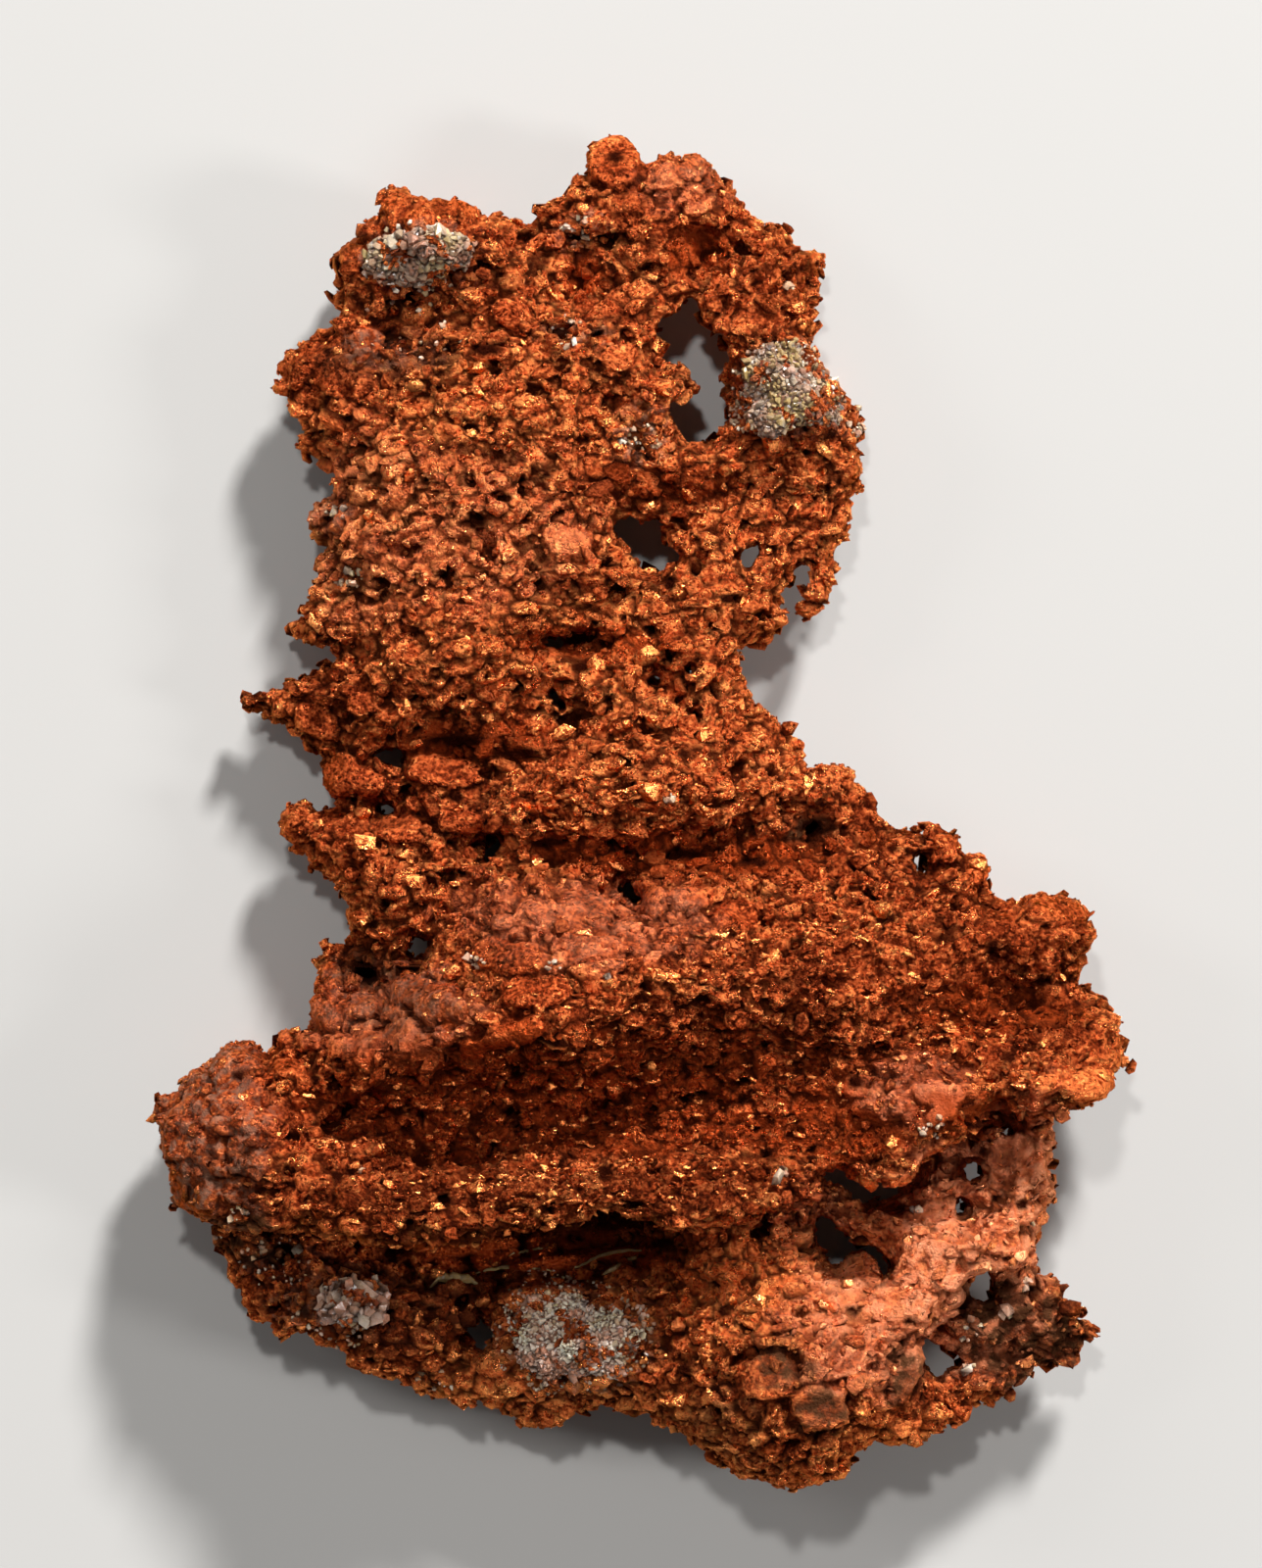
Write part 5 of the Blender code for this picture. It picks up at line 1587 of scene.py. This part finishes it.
@dataclass(frozen=True)
class CrystalCrust:
    """One patch of pale crystals, grown over its solid.

    Attributes:
        node: The solid's node.
        creamy: How cream its colour is.
        stained: How much the copper stains it.
        grain: The usual size of a crystal, in metres.
        long: How much longer than wide crystals are.
        bright: How bright it is, from 0 to 1.
        shade: How dark its crystals can be.
        rooted: How far its lower side is sunk into the copper, in metres.
        voxel: Size of the voxels that its skin is made on, in metres.
        dropped: How far it sinks where it is bare, in metres.
        candidates: How many places for crystals are tried.
    """

    node: str
    creamy: float
    stained: float
    grain: float
    long: float = 1.0
    bright: float = 0.5
    shade: float = 0.0
    rooted: float = 0.8 * MM
    voxel: float = 0.22 * MM
    dropped: float = 0.35 * MM
    candidates: int = 26000

    def build(self, chance: Chance) -> bpy.types.Object:
        """Make the crust.

        Args:
            chance: The seeded source of chance.

        Returns:
            The piece.
        """
        piece = solid_copy(self.node, self.node + "_sugar")
        remesh(piece, self.voxel, 3)
        mesh = piece.data
        places = Places.of(mesh)
        upward = places.normals[:, 2]
        lump = nubs(places.points, (1.5, 1.1, 1.4), 9.4)
        bare = ease(swell(places.points, (2.4, 1.7, 2.2), 6.1), -0.05, 0.30)
        rise = 0.30 * MM * (lump - 0.6) + 0.22 * MM * (nubs(places.points, (0.7, 0.6, 0.7), 4.4) - 0.6)
        moved = places.raised((rise - self.dropped * bare) * ease(upward, -0.1, 0.4))
        moved[:, 2] -= self.rooted * ease(-upward, -0.1, 0.5)
        moved[:, 2] = np.maximum(moved[:, 2], 0.0)
        write_points(mesh, moved)
        base = self.marks(moved, np.full(len(moved), 0.16), chance)
        # Painted shade: the crust's own skin between the crystals is dark, darkest in its low spots.
        base["hollow"] = 0.45 + 0.40 * (1.0 - ease(lump, 0.05, 0.45))
        base["stained"] = np.full(len(moved), 0.9)
        set_marks(mesh, base)
        piece.data = join_meshes(piece.name, [mesh, self.crystals(mesh, chance)], tuple(base))
        return piece

    def marks(self, points: np.ndarray, tint: np.ndarray, chance: Chance) -> dict[str, np.ndarray]:
        """What the finish reads.

        Args:
            points: Where.
            tint: How bright.
            chance: The seeded source of chance.

        Returns:
            One array of values for each name.
        """
        drift = swell(points, (2.2, 1.6, 2.0), 8.8)
        count = len(points)
        stained = self.stained * (0.75 - 2.2 * drift) * chance.uniform(0.4, 1.6, count)
        return {
            "tint": tint,
            "creamy": np.clip(self.creamy * (0.7 + 2.2 * drift) * chance.uniform(0.5, 1.2, count), 0.0, 1.0),
            "stained": np.clip(stained, 0.0, 1.0),
            "hollow": self.shade * chance.uniform(0.4, 1.6, count),
        }

    def crystals(self, mesh: bpy.types.Mesh, chance: Chance) -> bpy.types.Mesh:
        """Blocky crystals over the crust.

        Args:
            mesh: The crust's own skin.
            chance: The seeded source of chance.

        Returns:
            Their joined mesh.
        """
        places = scatter_on(mesh, self.candidates, chance)
        places = places.kept((places.normals[:, 2] > -0.3) & (copper_through(places.points) < CRYSTALS_TO))
        growth = np.exp(np.clip(chance.normal(0.0, 0.40, len(places)), -0.7, 0.6))
        kept = spaced(places, 0.80 * self.grain * growth)
        places, growth = places.kept(kept), growth[kept]
        sizes = self.grain * growth[:, None] * chance.uniform(0.7, 1.5, (len(places), 3))
        sizes[:, 0] *= self.long
        axes = frames_for(places, 0.5, 1.2, chance)
        shapes = CRYSTAL_CUT.shapes(chance)
        cloud = swell(places.points, (1.5, 1.0, 1.4), 12.0)
        cloud = cloud + 0.6 * swell(places.points, (0.6, 0.5, 0.6), 14.0)
        tint = np.clip(self.bright + 0.75 * cloud + chance.uniform(-0.22, 0.22, len(places)), 0.0, 1.0)
        grains = Grains(places, sizes, axes, self.marks(places.points, tint, chance))
        return grains.mesh(self.node, shapes, chance)


CRUSTS = (
    CrystalCrust("crystals_in_head", 0.45, 0.45, 0.34 * MM, 1.6, 0.38, 0.18),
    CrystalCrust("crystals_on_shoulder", 1.15, 0.35, 0.30 * MM, 1.2, 0.34, 0.40),
    CrystalCrust("crystals_on_hem", 0.30, 0.75, 0.25 * MM, 1.3, 0.88),
    CrystalCrust("crystals_on_left_hem", 0.05, 0.90, 0.62 * MM, 1.2, 0.40, 0.15),
)

# The specks: middle column and row, spread in squares, size in millimetres, and how many.
SPECKS = (
    (430, 268, 52, 0.42, 70), (590, 236, 14, 0.40, 14), (807, 297, 6, 0.55, 3), (360, 592, 16, 0.42, 16),
    (345, 525, 12, 0.36, 8), (655, 450, 22, 0.34, 26), (685, 815, 7, 0.40, 6), (808, 395, 62, 0.27, 260),
    (872, 412, 12, 0.40, 16), (768, 428, 24, 0.27, 80), (876, 438, 12, 0.30, 26),
    (585, 1362, 84, 0.25, 330), (645, 1345, 24, 0.27, 50), (557, 1318, 36, 0.22, 60),
    (366, 1322, 34, 0.66, 16), (285, 1288, 40, 0.28, 40), (335, 1356, 44, 0.28, 50),
    (250, 1232, 12, 0.36, 8), (230, 1258, 8, 0.36, 5), (492, 980, 12, 0.36, 8), (567, 983, 8, 0.34, 5),
    (620, 990, 7, 0.34, 4), (947, 1145, 16, 0.34, 12), (375, 1187, 5, 0.40, 3), (795, 1192, 6, 0.60, 3),
    (935, 1232, 6, 0.50, 3), (1054, 1246, 4, 0.5, 2), (1040, 1306, 10, 0.42, 5), (1025, 1337, 6, 0.62, 3),
    (990, 1355, 16, 0.38, 9), (990, 1392, 6, 0.45, 3), (1075, 1290, 6, 0.4, 2), (700, 1500, 20, 0.3, 4),
    (440, 1410, 24, 0.3, 8), (430, 330, 60, 0.28, 20), (590, 345, 28, 0.28, 14),
)


def crystal_specks(surface: BVHTree, chance: Chance) -> bpy.types.Object:
    """Make single small crystals and scraps of crust caught in the copper.

    Args:
        surface: The copper skin that they sit on.
        chance: The seeded source of chance.

    Returns:
        The piece.
    """
    spots, facings, sizes = [], [], []
    for column, row, spread, size, count in SPECKS:
        for _ in range(count):
            turn, reach = chance.uniform(0.0, math.tau), spread * math.sqrt(chance.random())
            across, down = reach * math.cos(turn), 0.7 * reach * math.sin(turn)
            place, facing = front_at(surface, column + across, row + down)
            grain = size * MM * math.exp(chance.normal(0.0, 0.3))
            if place is not None and place.z > grain:
                spots.append(place + 0.25 * grain * facing)
                facings.append(facing)
                sizes.append(grain * chance.uniform(0.7, 1.4, 3))
    places = Places(np.array(spots), np.array(facings))
    axes = frames_for(places, 0.5, 1.6, chance)
    shapes = SPECK_CUT.shapes(chance)
    count = len(places)
    marks = {
        "tint": chance.uniform(0.15, 0.95, count),
        "creamy": 0.6 * chance.random(count),
        "stained": 0.9 * chance.random(count),
        "hollow": np.zeros(count),
    }
    name = "crystal_specks"
    return new_piece(name, Grains(places, np.array(sizes), axes, marks).mesh(name, shapes, chance))


@dataclass(frozen=True)
class CopperOnCrusts:
    """Grains of copper that break through the crusts.

    Attributes:
        candidates: How many places are tried on each crust.
        gap: The least distance between two, in metres.
        size: The usual length, width and height, in metres.
    """

    candidates: int = 7000
    gap: float = 0.38 * MM
    size: Cell = (0.62 * MM, 0.46 * MM, 0.40 * MM)

    def build(self, crusts: list[bpy.types.Object], chance: Chance) -> bpy.types.Object:
        """Make the grains.

        Args:
            crusts: The finished crusts.
            chance: The seeded source of chance.

        Returns:
            The piece.
        """
        spots, facings = [], []
        for crust in crusts:
            places = scatter_on(crust.data, self.candidates, chance)
            places = places.kept((copper_through(places.points) > COPPER_FROM) & (places.normals[:, 2] > 0.0))
            spots.append(places.points)
            facings.append(places.normals)
        places = Places(np.concatenate(spots), np.concatenate(facings))
        places = places.kept(spaced(places, np.full(len(places), self.gap)))
        count = len(places)
        sizes = np.array(self.size) * chance.uniform(0.45, 1.5, (count, 3))
        shapes = CRUST_COPPER_CUT.shapes(chance)
        marks = {"tint": chance.uniform(0.1, 0.8, count)}
        for name, most in (("shine", 0.5), ("rust", 0.4), ("tarnish", 0.3), ("ashen", 0.5)):
            marks[name] = most * chance.random(count)
        marks.update(pale=np.zeros(count), hollow=np.zeros(count))
        grains = Grains(places, sizes, frames_for(places, 0.3, 1.0, chance), marks)
        return new_piece("copper_on_crusts", grains.mesh("copper_on_crusts", shapes, chance))


# The thin lips in the long recess: points on the grid, then thickness in millimetres.
LIPS = (
    (((521, 1281), (535, 1277), (549, 1274), (566, 1273)), 0.16),
    (((484, 1301), (500, 1295), (518, 1292), (540, 1292), (566, 1296)), 0.22),
    (((584, 1295), (598, 1289), (612, 1282), (628, 1277), (646, 1274), (662, 1276)), 0.24),
    (((616, 1300), (630, 1293), (643, 1286), (656, 1279)), 0.34),
    (((441, 1313), (450, 1304), (466, 1302), (482, 1304), (490, 1309)), 0.50),
)


@dataclass(frozen=True)
class MineralLips:
    """Thin curved lips of mineral that line the long recess over the hem.

    Attributes:
        surface: The copper skin that they grow on.
        chance: The seeded source of chance.
        steps: How many rings a lip has.
        sides: How many corners a ring has.
    """

    surface: BVHTree
    chance: Chance
    steps: int = 18
    sides: int = 7

    def build(self) -> bpy.types.Object:
        """Make the lips.

        Returns:
            The piece.
        """
        points, triangles, tints = [], [], []
        for route, thick in LIPS:
            start = len(points)
            for index, spot in enumerate(self.follow(route, thick * MM)):
                share = max(0.12, math.sin(math.pi * index / (self.steps - 1)) ** 0.5)
                swollen = 0.5 * thick * MM * share * self.chance.uniform(0.8, 1.2)
                for turn in (math.tau * side / self.sides for side in range(self.sides)):
                    ring = Vector((0.0, 1.3 * swollen * math.cos(turn), swollen * math.sin(turn)))
                    points.append(spot + ring)
                    tints.append(self.chance.uniform(0.2, 0.7))
            triangles += self.sleeve(start)
        mesh = mesh_of("mineral_lips", np.array(points), np.array(triangles))
        count = len(points)
        set_marks(mesh, {
            "tint": np.array(tints),
            "creamy": np.ones(count),
            "stained": 0.2 * self.chance.random(count),
            "hollow": self.chance.uniform(0.05, 0.35, count),
        })
        return new_piece("mineral_lips", mesh)

    def follow(self, route: Outline, thick: float) -> list[Vector]:
        """Lay a route on the skin.

        Args:
            route: Its points on the drawing grid.
            thick: The lip's thickness in metres.

        Returns:
            The route's middle line.
        """
        ends = np.array(route, dtype=float)
        along = np.linspace(0.0, len(ends) - 1.0, self.steps)
        columns, rows = (np.interp(along, np.arange(len(ends)), ends[:, axis]) for axis in range(2))
        line = []
        for column, row in zip(columns, rows):
            row += self.chance.normal(0.0, 0.5)
            place, _ = front_at(self.surface, column, row)
            line.append(Vector((*to_metres(column, row), place.z if place is not None else thick)))
        padded = np.pad([spot.z for spot in line], 3, mode="edge")
        heights = np.convolve(padded, np.full(7, 1.0 / 7.0), "valid")
        return [Vector((spot.x, spot.y, height + 0.35 * thick)) for spot, height in zip(line, heights)]

    def sleeve(self, start: int) -> list[tuple[int, int, int]]:
        """Faces of a closed tube of rings.

        Args:
            start: Number of its first point.

        Returns:
            The triangles.
        """
        faces = []
        for ring in range(start, start + (self.steps - 1) * self.sides, self.sides):
            for side in range(self.sides):
                here, there = ring + side, ring + (side + 1) % self.sides
                faces += [(here, here + self.sides, there), (there, here + self.sides, there + self.sides)]
        last = start + (self.steps - 1) * self.sides
        for side in range(1, self.sides - 1):
            faces += [(start, start + side, start + side + 1), (last, last + side + 1, last + side)]
        return faces


# ---------------------------------------------------------------- the studio
@dataclass(frozen=True)
class Lamp:
    """A square soft light: where it hangs, its side in metres and its power in watts."""

    name: str
    place: tuple[float, float, float]
    size: float
    power: float

    def hang(self) -> None:
        """Hang the light, aimed at the nugget."""
        data = bpy.data.lights.new(self.name, "AREA")
        data.size = self.size
        data.energy = self.power
        light = new_piece(self.name, data)
        light.location = self.place
        light.rotation_euler = (-Vector(self.place)).to_track_quat("-Z", "Y").to_euler()


LAMPS = (
    Lamp("key", (0.40, 1.04, 0.76), 0.18, 37.0),
    Lamp("right", (1.10, -0.20, 0.70), 0.25, 7.0),
    Lamp("left", (-1.00, 0.40, 0.80), 0.40, 2.5),
    Lamp("spark", (-0.10, 0.45, 1.20), 0.08, 6.5),
)


@dataclass(frozen=True)
class Studio:
    """Pale floor, soft light from beyond the head and a camera that looks straight down.

    Attributes:
        floor_side: Side of the floor, in metres.
        floor_colour: Its colour.
        floor_rough: Its roughness.
        world_strength: How strong the even light from all round is.
        camera_height: How high the camera hangs, in metres.
        picture_width: How wide the picture is at the height of the focus, in metres.
        focus: Height of the surface that the picture's scale is true at, in metres.
        sensor: Width of the camera's sensor, in millimetres.
        near: The nearest thing that the camera sees, in metres.
        far: The furthest.
        middle: The place under the camera, in metres.
    """

    floor_side: float = 3.0
    floor_colour: Colour = (0.40, 0.39, 0.375)
    floor_rough: float = 0.85
    world_strength: float = 0.15
    camera_height: float = 0.62
    picture_width: float = 0.1113
    focus: float = 0.010
    sensor: float = 36.0
    near: float = 0.01
    far: float = 10.0
    middle: tuple[float, float] = (-0.00066, 0.00176)

    def build(self) -> None:
        """Set everything up."""
        self.lay_floor()
        for lamp in LAMPS:
            lamp.hang()
        self.set_world()
        self.set_camera()
        bpy.context.scene.view_settings.view_transform = "Standard"

    def lay_floor(self) -> None:
        """Lay the plain floor."""
        work = bmesh.new()
        bmesh.ops.create_grid(work, x_segments=1, y_segments=1, size=0.5 * self.floor_side)
        floor = new_piece("floor", finished(work, "floor"))
        desk = Desk("plain_floor")
        desk.join(self.floor_colour, desk.shader.inputs["Base Color"])
        desk.join(self.floor_rough, desk.shader.inputs["Roughness"])
        floor.data.materials.append(desk.material)

    def set_world(self) -> None:
        """Light the scene evenly from all round."""
        world = bpy.data.worlds.new("even_light")
        world.use_nodes = True
        background = world.node_tree.nodes["Background"]
        background.inputs["Color"].default_value = (1.0, 1.0, 1.0, 1.0)
        background.inputs["Strength"].default_value = self.world_strength
        bpy.context.scene.world = world

    def set_camera(self) -> None:
        """Hang a long lens that looks straight down on the front."""
        data = bpy.data.cameras.new("camera")
        data.sensor_width = self.sensor
        data.lens = self.sensor * (self.camera_height - self.focus) / self.picture_width
        data.clip_start = self.near
        data.clip_end = self.far
        camera = new_piece("camera", data)
        camera.location = (*self.middle, self.camera_height)
        bpy.context.scene.camera = camera


# ---------------------------------------------------------------- the scene
def dress(piece: bpy.types.Object, material: bpy.types.Material, slot: str, *nodes: str) -> None:
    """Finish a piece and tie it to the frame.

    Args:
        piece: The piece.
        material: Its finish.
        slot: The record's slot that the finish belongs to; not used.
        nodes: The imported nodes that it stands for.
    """
    piece.data.materials.clear()
    piece.data.materials.append(material)
    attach(piece, BODY)
    if nodes:
        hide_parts(*nodes)
    LOG.info("%s: %d faces", piece.name, len(piece.data.polygons))


def corners(box: tuple[Vector, Vector]) -> list[list[float]]:
    """A box as plain lists of numbers."""
    return [list(map(float, corner)) for corner in box]


def main() -> None:
    """Build the pieces in order and light them."""
    logging.basicConfig(level=logging.INFO, format="%(name)s: %(message)s")
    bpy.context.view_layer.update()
    copper = CopperFinish().material()
    mineral = CrystalFinish().material()
    skin = CopperSkin()
    skin.build(np.random.default_rng(SEED))
    coat = GrainCoat(skin, np.random.default_rng(SEED + 1))
    for kind in GRAIN_KINDS:
        for piece in coat.lay(kind):
            dress(piece, copper, COPPER_SLOT)
    chance = np.random.default_rng(SEED + 2)
    crusts = [crust.build(chance) for crust in CRUSTS]
    dress(CopperOnCrusts().build(crusts, chance), copper, COPPER_SLOT)
    for crust, piece in zip(CRUSTS, crusts):
        dress(piece, mineral, MINERAL_SLOT, crust.node)
    surface = surface_of(skin.piece)
    dress(crystal_specks(surface, chance), mineral, MINERAL_SLOT)
    dress(MineralLips(surface, chance).build(), mineral, MINERAL_SLOT)
    for piece in skin.halves():
        dress(piece, copper, COPPER_SLOT, COPPER_NODE)
    Studio().build()


if __name__ == "__main__":
    main()
